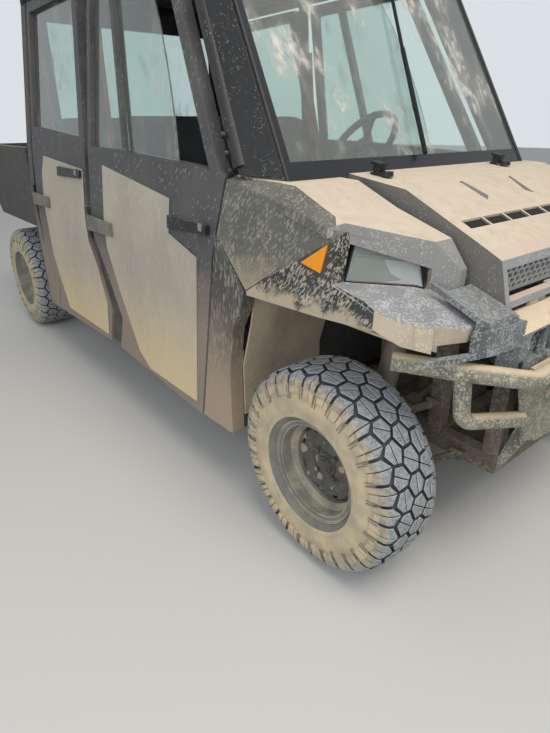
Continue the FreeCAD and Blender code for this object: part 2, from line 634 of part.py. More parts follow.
leaning(flare, flare_face, ("-310", "215"), ("790", "1060"), "40", "0", [
    *SEAM, ("51", "1050"), ("51", "926"), ("144", "907"), ("203", "892"), ("207", "arch_height + 24"),
    ("28", "arch_height + 10"), ("-280", "arch_height - 4")])
front_corner = body("fender_corner")
slab(front_corner, "XY", "nose_low - 72", "930", [[
    ("190", "waist_half - 42"), ("204", "waist_half - 6"), ("265", "706"), ("314", "658"),
    ("302", "644"), ("252", "690")]])
trimmed(front_corner, [("100", SHELF_TOP[2][1]), *SHELF_TOP[2:]])
trimmed(front_corner, [("100", "arch_height + 24"), ("205", "arch_height + 24"),
                       ("262", "arch_height - 7"), ("340", "nose_low - 70")], above=False)
shelf = body("fender_shelf")
slab(shelf, "XZ", "hood_half + 35", "waist_half - 8", [[*SHELF_TOP, *reversed(lowered(SHELF_TOP, "20"))]])
SHELF_EDGE = [("240", "hood_half + 38"), ("330", "470"), ("338", "560"), ("283", "688"),
              ("204", "waist_half - 10"), ("161", "waist_half - 16"), ("44", "waist_half - 24"),
              ("-60", "700"), ("-60", "560"), ("100", "470")]
cut(shelf, "XY", "700", "1100", [box("-100", "400", "0", "900"), SHELF_EDGE])
lip = body("fender_lip")
slab(lip, "XY", "arch_height - 10", "900", [[
    ("285", "690"), ("342", "560"), ("335", "470"), ("325", "470"), ("331", "556"), ("272", "688")]])
trimmed(lip, [("200", SHELF_TOP[2][1]), *SHELF_TOP[3:]])
brow = body("fender_brow")
slab(brow, "XY", "900", "1150", [[
    ("12 - brow", "fender_half - brow - 1"), *BROW_LINE[:2], ("190 - brow", "510 - brow")]])
trimmed(brow, lowered(FENDER_TOP[1:4], "fender_skin - 3"))
trimmed(brow, [("-20", "1054"), ("14", "1038"), ("200", "954")], above=False)
tip = body("fender_tip")
slab(tip, "XY", "nose_low + 27", "1100", [[
    ("180", "511"), *BROW_LINE[1:], ("245", "hood_half + 31"), ("180", "hood_half + 31")]])
trimmed(tip, FENDER_TOP[2:])
pair("front_fenders", fused("fender", [top, side_plate, flare, front_corner, shelf, lip, brow, tip]))

# Panels beside the footwell, and the arch liners

footwell = body("footwell")
slab(footwell, "XZ", TUB_HALF, "waist_half", [[
    ("-pillar_front - 4", "977"), ("-302", "arch_height + 4"), ("-318", "arch_height - 60"),
    ("-366", "690"), ("-firewall", "520"), ("-firewall", "sill_low + 14"), ("-587", "sill_low + 8")]])
cut(footwell, "XZ", TUB_HALF, "fender_half - 20", [box("-firewall + 1", "-250", "600", "1000")])
pair("footwell_sides", footwell)

liner = body("liner")
slab(liner, "XZ", "330", f"{TUB_HALF} - seat_gap", [[
    ("-firewall + seat_gap", "345"), ("-firewall + seat_gap", "540"), ("-345", "700"),
    ("-318", "arch_height - 2"), ("-312", "arch_height - 8"), ("-338", "700"), ("-387", "540"),
    ("-387", "345")]])
slab(liner, "XY", "arch_height - 8", "arch_height - seat_gap",
     [[("-318", "330"), ("235", "330"), ("235", "waist_half - 47"), ("-296", "waist_half - 47"),
       ("-296", f"{TUB_HALF} - seat_gap"), ("-318", f"{TUB_HALF} - seat_gap")]])
pair("wheel_arch_liners", liner)

# Front fascia: a moulding under the hood's nose, its columns, strips and ledges, and its grille

HOOD_HINGE = "(hood_nose - 8)"
FASCIA_LOW = "(nose_low - 178)"
FASCIA_TOP = "(nose_low - 16)"
COLUMN_OUT = "560"
centre = body("fascia_centre")
slab(centre, "XZ", "-(hood_half - 12)", "hood_half - 12", [[
    ("rail_nose + seat_gap", FASCIA_LOW), ("fascia_front", FASCIA_LOW),
    ("fascia_front - 3", "nose_low - 56"), ("fascia_front - 14", "nose_low - 48"),
    ("fascia_front - 28", "nose_low - 40"), ("rail_nose + 12", FASCIA_TOP),
    ("rail_nose + seat_gap", FASCIA_TOP)]])
GRILLE_LOW = "(nose_low - 142)"
GRILLE_HIGH = "(nose_low - 62)"
GRILLE_FACE = "(fascia_front - 24)"
for low, high in (("rail_nose - 10", f"{GRILLE_FACE} - web"), (GRILLE_FACE, "fascia_front + 10")):
    cut(centre, "YZ", low, high, [box("-(hood_half - 60)", "hood_half - 60", GRILLE_LOW, GRILLE_HIGH)])
honeycomb(centre, f"{GRILLE_FACE} - web - 1", f"{GRILLE_FACE} + 1", "30", 22,
          [f"{GRILLE_LOW} + {16 * row + 8}" for row in range(5)])
fascia_parts = [centre]
for side in (1, -1):
    name = "left" if side > 0 else "right"
    column = body(f"fascia_column_{name}")
    slab(column, "XY", "nose_low - 86", "nose_low - 18", [[
        ("350", f"{side} * (hood_half - 20)"), ("fascia_front - 4", f"{side} * (hood_half - 20)"),
        ("385", f"{side} * 500"), ("368", f"{side} * {COLUMN_OUT}"), ("352", f"{side} * {COLUMN_OUT}")]])
    slab(column, "XY", "nose_low - 86", "nose_low - 74", [[
        ("351", f"{side} * 550"), ("368", f"{side} * {COLUMN_OUT}"), ("320", f"{side} * 690"),
        ("302", f"{side} * 684")]])
    barrel = body(f"hood_barrel_{name}")
    near, far = sorted((f"{side} * 241", f"{side} * 280"), key=value)
    slab(barrel, "XZ", near, far, [], [(HOOD_HINGE, "nose_low - 7", "6")])
    slab(barrel, "XZ", near, far, [box(f"{HOOD_HINGE} - 6", f"{HOOD_HINGE} + 6", "nose_low - 18",
                                       "nose_low - 7")])
    strip = body(f"fascia_strip_{name}")
    slab(column, "XY", "nose_low - 20", "nose_low", [[
        ("350", f"{side} * (hood_half + 6)"), ("388", f"{side} * (hood_half + 6)"),
        ("380", f"{side} * 500"), ("366", f"{side} * 545"), ("350", f"{side} * 545")]])
    slab(strip, "XZ", *sorted((f"{side} * (hood_half + 6)", f"{side} * 545"), key=value), [[
        ("205", "nose_low + 64"), ("380", "nose_low + 3"), ("380", "nose_low - 12"),
        ("205", "nose_low + 49")]])
    cut(strip, "XY", "nose_low - 50", "nose_low + 100", [
        box("180", "410", f"{side} * 380", f"{side} * 580"),
        [("250", f"{side} * (hood_half + 5)"), ("250", f"{side} * 514"), ("207", f"{side} * 532"),
         ("371", f"{side} * 544"), ("392", f"{side} * (hood_half + 5)")]])
    fascia_parts += [column, barrel, strip]
fused("front_fascia", fascia_parts)

# Hood: top skin, nose plate and side skirts, with its vent slots and nose opening cut

hood = body("hood")
HOOD_TOP = (
    # along, up: from the screen over the slots and down the nose
    ("-hood_tail", "screen_foot_height - 12"), ("11", "1127"), ("276", "1006"),
    ("hood_nose - 33", "986"), ("hood_nose", "nose_low"),
)
slab(hood, "XZ", "-hood_half", "hood_half", [[
    *HOOD_TOP, ("hood_nose - hood_skin", "nose_low"), ("hood_nose - 33 - hood_skin", "968"),
    ("268", "1006 - hood_skin"), ("6", "1127 - hood_skin"),
    ("-hood_tail", "screen_foot_height - 12 - hood_skin")]])
for side in (1, -1):
    inner, outer = sorted((f"{side} * (hood_half - hood_skin)", f"{side} * hood_half"), key=value)
    slab(hood, "XZ", inner, outer, [[
        ("-130", "1125"), ("11", "1125"), ("275", "1004"), ("hood_nose - 34", "984"),
        ("hood_nose - 1", "nose_low"), ("230", "nose_low + 40"), ("-60", "1030")]])
for side in (1, -1):
    near, far = sorted((f"{side} * 200", f"{side} * (241 - seat_gap)"), key=value)
    slab(hood, "XZ", near, far, [], [(HOOD_HINGE, "nose_low - 7", "6")])
    slab(hood, "XZ", near, far, [box(f"{HOOD_HINGE} - 6", f"{HOOD_HINGE} + 6", "nose_low - 7",
                                     "nose_low + 1")])
SLOTS = 7
cut(hood, "XY", "belt_height - 250", "belt_height", [
    box("162", "196", f"{number} * 106 - 48", f"{number} * 106 + 48")
    for number in range(-(SLOTS // 2), SLOTS // 2 + 1)])
cut(hood, "YZ", "hood_nose - 70", "hood_nose + 10",
    [box("-(hood_half - 20)", "hood_half - 20", "nose_low + 18", "nose_low + 94")])

grille = body("nose_grille")
GRILLE_BACK = "(hood_nose - 33 - hood_skin - 12)"
slab(grille, "YZ", GRILLE_BACK, f"{GRILLE_BACK} + web", [box(
    "-(hood_half - hood_skin - seat_gap)", "hood_half - hood_skin - seat_gap",
    "nose_low + 10", "nose_low + 96")])
honeycomb(grille, f"{GRILLE_BACK} - 1", f"{GRILLE_BACK} + web + 1", "30", 24,
          [f"nose_low + {16 * row + 24}" for row in range(5)])
LATCHES = [post(f"hood_latch_{side}", "18", "14", f"{FRONT_AXLE} - 120", f"{side} * 335",
                "screen_foot_height - 20")
           for side in (1, -1)]
hood_fittings = gather("hood_fittings", [grille, *LATCHES])

# Headlamps and side markers

lamp = body("headlamp")
loft(lamp, [
    ("nose_low + 32", [("52", "fender_half - 26"), ("182", "520"), ("120", "498"), ("0", "600"),
                       ("52", "632")]),
    ("nose_low + 194", [("52", "fender_half - 77"), ("136", "518"), ("100", "498"), ("0", "590"),
                        ("52", "626")]),
])
trimmed(lamp, lowered(FENDER_TOP[1:], "fender_skin + 1"))
trimmed(lamp, SHELF_TOP, above=False, gap="seat_gap")
pair("headlamps", lamp)
marker = body("marker")
leaning(marker, flare_face, ("-80", "30"), ("935", "1035"), "-seat_gap", "-7",
        [("16", "1019"), ("-68", "961"), ("10", "948")])
pair("side_markers", marker)

# Roll cage: screen pillars with their covers, door posts, rear posts, roof rails and cross tubes

RAIL_LEVEL = "(eave_height + 10 + cage_radius)"
RAIL_HALF = "(eave_half - cage_radius - panel - 3)"
PILLAR_FOOT = "(-pillar_front + pillar_gap + 38)"
PILLAR_HEAD = f"({PILLAR_FOOT} - pillar_slope * ({RAIL_LEVEL} - belt_height))"
REAR_POST = f"({CAB_TAIL} + 45)"
SILL_TOP = f"({FLOOR_TOP} + 68 + seat_gap + 1)"


def cage_tube(label, route):
    """One tube of the roll cage."""
    return tube(label, route, "cage_radius")


def cage_side(side):
    """The roll cage's tubes on one side."""
    name = "left" if side > 0 else "right"
    half = f"{side} * {RAIL_HALF}"
    foot = f"{side} * (belt_half - cage_radius - 4)"
    return [
        cage_tube(f"cage_hoop_{name}", [
            (f"{PILLAR_FOOT} + 14", foot, "screen_foot_height + 5"),
            (PILLAR_HEAD, half, RAIL_LEVEL), (REAR_POST, half, RAIL_LEVEL),
            (REAR_POST, f"{side} * ({TUB_HALF} - 50)", SILL_TOP)]),
        cage_tube(f"cage_post_{name}", [
            (HINGE_AXIS, f"{side} * ({TUB_HALF} - 55)", SILL_TOP),
            (f"{HINGE_AXIS} - 35", half, RAIL_LEVEL)]),
        pillar_cover(name, side),
    ]


def pillar_cover(name, side):
    """The slanted plate from a screen pillar to the windscreen's edge."""
    rise = "(eave_height + 10 - screen_foot_height)"
    cover = body(f"pillar_cover_{name}")
    back = f"pillar_slope * {rise}"
    loft(cover, [
        ("screen_foot_height - 10.5", [
            ("-screen_foot + 12", f"{side} * (screen_foot_half + 1)"),
            ("-screen_foot + 12", f"{side} * (screen_foot_half + 12)"),
            (f"{PILLAR_FOOT} + 25", f"{side} * (belt_half - 10)"),
            (f"{PILLAR_FOOT} + 25", f"{side} * (belt_half - 36)")]),
        ("eave_height + 10", [
            (f"-screen_foot - {back}", f"{side} * (screen_head_half + 1)"),
            (f"-screen_foot - {back}", f"{side} * (screen_head_half + 12)"),
            (f"{PILLAR_FOOT} - {back} + 20", f"{side} * (eave_half - 22)"),
            (f"{PILLAR_FOOT} - {back} + 20", f"{side} * (eave_half - 48)")]),
    ])
    return cover


def cross_tube(label, along):
    """A cage tube across the roof."""
    return tube(label, [(along, f"-{RAIL_HALF}", RAIL_LEVEL), (along, RAIL_HALF, RAIL_LEVEL)],
                "cage_radius - 3")


fused("roll_cage", [
    *cage_side(1), *cage_side(-1), cross_tube("cage_header", f"{PILLAR_HEAD} - 50"),
    cross_tube("cage_middle", f"{HINGE_AXIS} - 35"), cross_tube("cage_rear", f"{REAR_POST} + 60")])

# Windscreen, roof and the cab's rear wall with its window

SCREEN_BACK = "pillar_slope * (eave_height - screen_foot_height)"
windscreen = body("windscreen")
loft(windscreen, [
    ("screen_foot_height - 27.7", [
        ("-screen_foot + 16", "-screen_foot_half"), ("-screen_foot + 16 + glass", "-screen_foot_half"),
        ("-screen_foot + 16 + glass", "screen_foot_half"), ("-screen_foot + 16", "screen_foot_half")]),
    ("eave_height", [
        (f"-screen_foot - {SCREEN_BACK}", "-screen_head_half"),
        (f"-screen_foot - {SCREEN_BACK} + glass", "-screen_head_half"),
        (f"-screen_foot - {SCREEN_BACK} + glass", "screen_head_half"),
        (f"-screen_foot - {SCREEN_BACK}", "screen_head_half")]),
])
ROOF_FRONT = "(-screen_foot - pillar_slope * (eave_height - screen_foot_height) + 30)"
roof = body("roof")
ROOF_LINE = [
    (ROOF_FRONT, "-520"), (ROOF_FRONT, "520"), (f"{ROOF_FRONT} - 90", "eave_half + 22"),
    (f"{CAB_TAIL} + 40", "eave_half + 22"), (CAB_TAIL, "580"), (CAB_TAIL, "-580"),
    (f"{CAB_TAIL} + 40", "-(eave_half + 22)"), (f"{ROOF_FRONT} - 90", "-(eave_half + 22)")]
slab(roof, "XY", f"{RAIL_LEVEL} + cage_radius + seat_gap", "roof_height", [ROOF_LINE])
rear_wall = body("rear_wall")
REAR_OPENING = box("-500", "500", "belt_height + 100", "eave_height - 60")
slab(rear_wall, "YZ", f"{CAB_TAIL} - panel - seat_gap", f"{CAB_TAIL} - seat_gap", [[
    ("-waist_half", RAIL_TOP), ("waist_half", RAIL_TOP), ("waist_half", "waist_height"),
    ("belt_half", "belt_height"), ("eave_half", "eave_height"), ("eave_half", RAIL_LEVEL),
    ("-eave_half", RAIL_LEVEL), ("-eave_half", "eave_height"), ("-belt_half", "belt_height"),
    ("-waist_half", "waist_height")], REAR_OPENING])
rear_window = body("rear_window")
slab(rear_window, "YZ", f"{CAB_TAIL} - panel / 2 - glass / 2", f"{CAB_TAIL} - panel / 2 + glass / 2",
     [REAR_OPENING])

# Dashboard with the steering column, seats on their bases

dashboard = body("dashboard")
slab(dashboard, "XZ", "-650", "650", [[
    ("-firewall - panel - seat_gap", "screen_foot_height - 45"), ("-620", "1105"), ("-655", "1040"),
    ("-630", "900"), ("-firewall - panel - seat_gap", "860")]])
column_bar = doc.addObject("Part::Cylinder", "column_bar")
tie(column_bar, "Radius", "column_radius")
tie(column_bar, "Height", "column_length")
column_bar.Placement.Rotation = FreeCAD.Rotation(Vector(0, 1, 0), 180 - value("column_tilt"))
place(column_bar, f"{FRONT_AXLE} - wheel_reach + 21.3 * sin(column_tilt * 1 deg)", "wheel_side",
      "wheel_height - 21.3 * cos(column_tilt * 1 deg)")
column = doc.addObject("Part::Cut", "steering_column")
column.Label = "steering_column"
column.Base = column_bar
column.Tool = dashboard

grip_ring = doc.addObject("Part::Torus", "grip_ring")
tie(grip_ring, "Radius1", "wheel_radius")
tie(grip_ring, "Radius2", "wheel_grip")
wheel_boss = doc.addObject("Part::Cylinder", "wheel_boss")
tie(wheel_boss, "Radius", "column_radius + 16")
tie(wheel_boss, "Height", "40")
wheel_boss.Placement.Base.z = -21
SPOKES = []
for turn in (90, 200, 340):
    spoke = doc.addObject("Part::Box", "wheel_spoke")
    tie(spoke, "Length", "wheel_radius")
    tie(spoke, "Width", "28")
    tie(spoke, "Height", "12")
    spoke.Placement = FreeCAD.Placement(
        FreeCAD.Rotation(Vector(0, 0, 1), turn).multVec(Vector(0, -14, -6)),
        FreeCAD.Rotation(Vector(0, 0, 1), turn))
    SPOKES.append(spoke)
steering_wheel = fused("steering_wheel", [grip_ring, wheel_boss, *SPOKES])
steering_wheel.Placement.Rotation = FreeCAD.Rotation(Vector(0, 1, 0), -value("column_tilt"))
place(steering_wheel, f"{FRONT_AXLE} - wheel_reach", "wheel_side", "wheel_height")

SEAT_BASE_HALF = f"({TUB_HALF} - sill_width - 2)"
SEAT_ROWS = (("front", "front_seat_front"), ("rear", "rear_seat_front"))
bases = []
for name, front in SEAT_ROWS:
    base = body(f"{name}_seat_box")
    slab(base, "XZ", f"-{SEAT_BASE_HALF}", SEAT_BASE_HALF, [box(
        f"-{front} - cushion_depth + 20", f"-{front} - 20", f"{FLOOR_TOP} + seat_gap", "seat_height")])
    bases.append(base)
    cushion = body(f"{name}_seat_cushion")
    slab(cushion, "XZ", "-seat_half", "seat_half", [box(
        f"-{front} - cushion_depth", f"-{front}", "seat_height + seat_gap",
        "seat_height + cushion_rise")])
    back = body(f"{name}_seat_back")
    slab(back, "XZ", "-(seat_half - 65)", "seat_half - 65", [[
        (f"-{front} - cushion_depth - seat_gap", "seat_height + 20"),
        (f"-{front} - cushion_depth - back_thick + 40", "seat_height + 20"),
        (f"-{front} - cushion_depth - back_thick", "back_top"),
        (f"-{front} - cushion_depth - back_thick / 2", "back_top")]])
    gather(f"{name}_seat", [cushion, back])
gather("seat_bases", bases)

# Brush guard: round tubes on a bumper plate that is bolted to the rails

guard_parts = []
for side in (1, -1):
    name = "left" if side > 0 else "right"
    guard_parts.append(tube(f"guard_upper_{name}", [
        ("200", f"{side} * 650", "guard_height + 4"), ("338", f"{side} * 565", "guard_height - 2"),
        ("front_overhang - guard_radius", f"{side} * 385", "guard_height - 44"),
        ("front_overhang - guard_radius", "0", "guard_height - 44")], "guard_radius", "60"))
    guard_parts.append(tube(f"guard_lower_{name}", [
        ("343", f"{side} * 553", "guard_height - 10"), ("343", f"{side} * 524", "guard_height - 158"),
        ("fascia_front + 10", f"{side} * 335", "guard_height - 189")], "guard_radius - 3", "50"))
PLATE_EDGE = (
    # across, up: one side's edge from the upper tube down to the skid plate
    ("395", "guard_height - 44"), ("350", "guard_height - 145"), ("335", "guard_height - 197"),
    ("290", "470"), ("216", "440"), ("116", "428"),
)
plate = body("bumper_plate")
slab(plate, "YZ", "fascia_front + 2", "fascia_front + 12", [[
    *PLATE_EDGE, *((f"-{across}", up) for across, up in reversed(PLATE_EDGE))]])
slab(plate, "YZ", "fascia_front + 2", "front_overhang - guard_radius", [
    box("-330", "330", "guard_height - 58", "guard_height - 38")])
slab(plate, "YZ", "fascia_front + 2", "front_overhang - guard_radius - 10", [
    box("-220", "220", "guard_height - 165", "guard_height - 140")])
for side in (1, -1):
    slab(plate, "XZ", f"{side} * rail_track / 2 - 15", f"{side} * rail_track / 2 + 15", [[
        ("rail_nose + seat_gap", "ground_clearance + 8"), ("rail_nose + seat_gap", RAIL_TOP),
        ("fascia_front + 2", "600"), ("fascia_front + 12", "600"), ("fascia_front + 12", "470")]])
fused("brush_guard", [plate, *guard_parts])

# Running gear at both axles: arms, springs, shafts, hub carriers, wheels

SHOCK_FOOT_HEIGHT = "(tyre_radius + knuckle_rise / 2 + 31)"
AXLES = (("front", FRONT_AXLE), ("rear", REAR_AXLE))
VENT_CIRCLE = "hub_radius + 56"
SIDES = (("left", 1), ("right", -1))
arms = []
springs = []
shafts = []
carriers = []
for axle, place_of in AXLES:
    for name, side in SIDES:
        end = f"{side} * {KINGPIN}"
        LEVELS = (
            # level, foot of the ball joint, the leg's end, half spread of the legs, their root
            ("low", "tyre_radius - knuckle_rise / 2 - seat_gap - ball_rise",
             "tyre_radius - knuckle_rise / 2 - 27", "arm_spread", "ground_clearance + 22"),
            ("high", "tyre_radius + knuckle_rise / 2 + seat_gap",
             "tyre_radius + knuckle_rise / 2 + 17", "110", "460"))
        for level, foot, end_height, spread, root in LEVELS:
            inner = f"{side} * ({RAIL_OUTER} + bush_radius + seat_gap)"
            pieces = [post(f"{axle}_{level}_ball_{name}", "ball_radius", "ball_rise", place_of, end,
                           foot)]
            for fore in (1, -1):
                pieces.append(tube(f"{axle}_{level}_leg_{name}_{fore}", [
                    (f"{fore} * {spread}", inner, root), ("0", end, end_height)],
                    "arm_radius", x=place_of))
                pieces.append(fore_bar(f"{axle}_{level}_bush_{name}_{fore}", "bush_radius", "44",
                                       f"{place_of} + {fore} * {spread} - 22", inner, root))
            if level == "high":
                pieces.append(fore_bar(f"{axle}_bridge_{name}", "10", "104", f"{place_of} - 52",
                                       f"{side} * shock_foot", SHOCK_FOOT_HEIGHT))
            arms.append(fused(f"{axle}_{level}_arm_{name}", pieces))
        spring = tube(f"{axle}_spring_{name}", [
            ("0", f"{side} * (shock_foot - 13)", "500"), ("0", f"{side} * 350", "tower_top - 75")],
            "spring_radius", x=place_of)
        rod = tube(f"{axle}_rod_{name}", [
            ("0", f"{side} * shock_foot", f"{SHOCK_FOOT_HEIGHT} + 14"),
            ("0", f"{side} * 338", "tower_top - tower_plate - 4.2")], "12", x=place_of)
        springs.append(fused(f"{axle}_shock_{name}", [spring, rod]))
        lean = "(shaft_height - tyre_radius) / (519 - 114.6)"
        spans = (("shaft", "114.6", "519", "shaft_radius"), ("inner_boot", "222", "262", "boot_radius"),
                 ("outer_boot", "468", "515", "boot_radius"))
        shafts.append(fused(f"{axle}_half_shaft_{name}", [
            tube(f"{axle}_{span}_{name}", [
                ("0", f"{side} * {across}", f"shaft_height - ({across} - 114.6) * {lean}")
                for across in (near, far)], thick, x=place_of)
            for span, near, far, thick in spans]))
        knuckle = body(f"knuckle_{axle}_{name}", place_of, z="tyre_radius")
        low, high = sorted((f"{side} * (hub_face - seat_gap - knuckle_depth)",
                            f"{side} * (hub_face - seat_gap)"), key=value)
        slab(knuckle, "XZ", low, high, [box("-knuckle_length / 2", "knuckle_length / 2",
                                            "-knuckle_rise / 2", "knuckle_rise / 2")])
        if axle == "rear":
            carriers.append(knuckle)
        rim_half = f"({axle}_rim_width / 2)"
        middle = f"(tyre_span / 2 - {axle}_tyre_width / 2)"
        rim = body(f"rim_{axle}_{name}", place_of, f"{side} * {middle}", "tyre_radius")
        flange = f"{side} * (hub_face + hub_reach - {middle})"
        revolve(rim, [
            (f"{side} * (hub_face - {middle})", "0"), (f"{side} * (hub_face - {middle})", "hub_radius"),
            (flange, "hub_radius"), (flange, "rim_radius - 10"),
            (f"-{side} * {rim_half}", "rim_radius - 10"), (f"-{side} * {rim_half}", "rim_radius + rim_lip"),
            (f"-{side} * ({rim_half} - rim_wall)", "rim_radius + rim_lip"),
            (f"-{side} * ({rim_half} - rim_wall)", "rim_radius"),
            (f"{side} * ({rim_half} - rim_wall)", "rim_radius"),
            (f"{side} * ({rim_half} - rim_wall)", "rim_radius + rim_lip"),
            (f"{side} * {rim_half}", "rim_radius + rim_lip"), (f"{side} * {rim_half}", "rim_radius - 10"),
            (f"{flange} + {side} * 8", "rim_radius - 10"), (f"{flange} + {side} * 8", "36"),
            (f"{flange} + {side} * 34", "32"), (f"{flange} + {side} * 34", "0")])
        low, high = sorted((f"({flange}) - {side}", f"({flange}) + {side} * 9"), key=value)
        cut(rim, "XZ", low, high, [], [
            (f"({VENT_CIRCLE}) * cos({45 * vent + 22.5})", f"({VENT_CIRCLE}) * sin({45 * vent + 22.5})",
             "vent_radius") for vent in range(8)])
gather("suspension_arms", arms)
gather("shock_absorbers", springs)
gather("drive_shafts", shafts)
gather("rear_hub_carriers", carriers)

# Tyres: the carcass is what cross sections turned about the axle share, with lugs on every other flat

TYRE_FLATS = 24


def turned_body(label, axle, middle, turn):
    """A body at a wheel's centre, turned about the axle."""
    part = body(label, axle, middle, "tyre_radius")
    part.Placement.Rotation = FreeCAD.Rotation(Vector(0, 1, 0), turn)
    return part


def both_ways(line):
    """The whole cross section, from its upper outer quarter given as (across, radius)."""
    upper = [(f"-({across})", radius) for across, radius in line] + list(reversed(line))
    return upper + [(across, f"-({radius})") for across, radius in reversed(upper)]


def lugs(label, width, side, turn, axle, middle):
    """One row of lugs, each from near the tread's middle over the shoulder."""
    row = turned_body(label, axle, middle, turn)
    row.AllowCompound = True
    lug = slab(row, "YZ", "-lug_length / 2", "lug_length / 2", [[
        (f"{side} * 4", "tyre_radius - tread_depth - 3"), (f"{side} * 4", "tyre_radius"),
        (f"{side} * ({width} / 2 - 44)", "tyre_radius"), (f"{side} * ({width} / 2 - 6)", "tyre_radius - 34"),
        (f"{side} * ({width} / 2 - 20)", "tyre_radius - 42")]])
    turned = row.newObject("PartDesign::PolarPattern", f"{label}_pattern")
    turned.Originals = [lug]
    turned.Axis = (next(item for item in row.Origin.OriginFeatures if item.Role == "Y_Axis"), [""])
    turned.Angle = 360
    turned.Occurrences = TYRE_FLATS // 2
    row.Tip = turned
    return row


for axle, place_of in AXLES:
    width = f"{axle}_tyre_width"
    middle = f"(tyre_span / 2 - {width} / 2)"
    bead = f"({axle}_rim_width / 2 - rim_wall)"
    CARCASS = (
        # across, radius of the flats: from the sidewall over the shoulder to the tread
        (f"{width} / 2", "tyre_radius - 88"), (f"{width} / 2 - 9", "tyre_radius - 40"),
        (f"{width} / 2 - 40", "tyre_radius - tread_depth - 2"),
    )
    HOLLOW = (
        # across, radius of the flats: from the sidewall in to the bead and the bore
        (f"{width} / 2 + 1", "tyre_radius - 87"), (bead, "rim_radius + rim_lip"),
        (bead, "rim_radius + seat_gap"),
    )
    sections = []
    bores = []
    for number in range(TYRE_FLATS // 2):
        turn = 360 / TYRE_FLATS * number
        section = turned_body(f"{axle}_section_{number}", place_of, middle, turn)
        slab(section, "YZ", "-tyre_radius", "tyre_radius", [both_ways(CARCASS)])
        sections.append(section)
        bore = turned_body(f"{axle}_bore_{number}", place_of, middle, turn)
        slab(bore, "YZ", "-tyre_radius", "tyre_radius", [both_ways(HOLLOW)])
        bores.append(bore)
    outer = shared(f"{axle}_carcass", sections)
    inner = shared(f"{axle}_bore", bores)
    solid = fused(f"{axle}_tread", [outer, lugs(f"{axle}_lugs_out", width, 1, 0, place_of, middle),
                                    lugs(f"{axle}_lugs_in", width, -1, 360 / TYRE_FLATS, place_of, middle)])
    tyre = doc.addObject("Part::Cut", f"tyre_{axle}_left")
    tyre.Label = f"tyre_{axle}_left"
    tyre.Base = solid
    tyre.Tool = inner
    mirrored(f"tyre_{axle}_right", tyre)

# Power unit with the front drive box, silencer and tow hitch

engine = body("engine_block", REAR_AXLE)
slab(engine, "XY", f"{RAIL_TOP} + seat_gap", "tower_top - tower_plate - 20",
     [box("-200", "380", "-111", "111")])
slab(engine, "XY", f"{RAIL_TOP} + seat_gap", "tower_top - tower_plate - 20",
     [box("60", "380", "-200", "200")])
drive_box = body("front_drive_box")
slab(drive_box, "XY", "ground_clearance + skid_plate + seat_gap", "shaft_height + 45",
     [box("-80", "80", "-111", "111")])
gather("power_unit", [engine, drive_box])
silencer = side_bar("silencer", "72", "-190", "190", f"{REAR_AXLE} - 200 - 72 - seat_gap", "580")
hitch = body("tow_hitch", REAR_AXLE)
slab(hitch, "YZ", "-rear_overhang", "-rail_tail - seat_gap", [
    box("-receiver_width / 2", "receiver_width / 2", "ground_clearance",
        "ground_clearance + receiver_width"),
    box("-receiver_bore / 2", "receiver_bore / 2",
        "ground_clearance + receiver_width / 2 - receiver_bore / 2",
        "ground_clearance + receiver_width / 2 + receiver_bore / 2")])
cut(hitch, "XZ", "-receiver_width", "receiver_width", [],
    [("-rear_overhang + 40", "ground_clearance + receiver_width / 2", "pin_bore")])

# Wiper: a motor box behind the roof's edge and an arm down the windscreen

WIPER_TOP = "(eave_height - 95)"
wiper_parts = [
    tube("wiper_arm", [
        (f"-screen_foot - pillar_slope * ({WIPER_TOP} - screen_foot_height) + 34", "110", WIPER_TOP),
        ("-screen_foot - pillar_slope * 165 + 34", "5", "screen_foot_height + 165")], "6"),
    tube("wiper_blade", [
        ("-screen_foot - pillar_slope * 360 + 34", "55", "screen_foot_height + 360"),
        ("-screen_foot - pillar_slope * 30 + 34", "-20", "screen_foot_height + 30")], "8"),
]
motor = body("wiper_motor")
slab(motor, "XZ", "70", "150", [[
    (f"-screen_foot - pillar_slope * ({WIPER_TOP} - 40 - screen_foot_height) + 6.4", f"{WIPER_TOP} - 40"),
    (f"-screen_foot - pillar_slope * ({WIPER_TOP} - 40 - screen_foot_height) + 48", f"{WIPER_TOP} - 40"),
    (f"-screen_foot - pillar_slope * ({WIPER_TOP} + 60 - screen_foot_height) + 48", f"{WIPER_TOP} + 60"),
    (f"-screen_foot - pillar_slope * ({WIPER_TOP} + 60 - screen_foot_height) + 6.4", f"{WIPER_TOP} + 60")]])
fused("wiper", [motor, *wiper_parts])

# Load bed with its tail lamps, and the tailgate

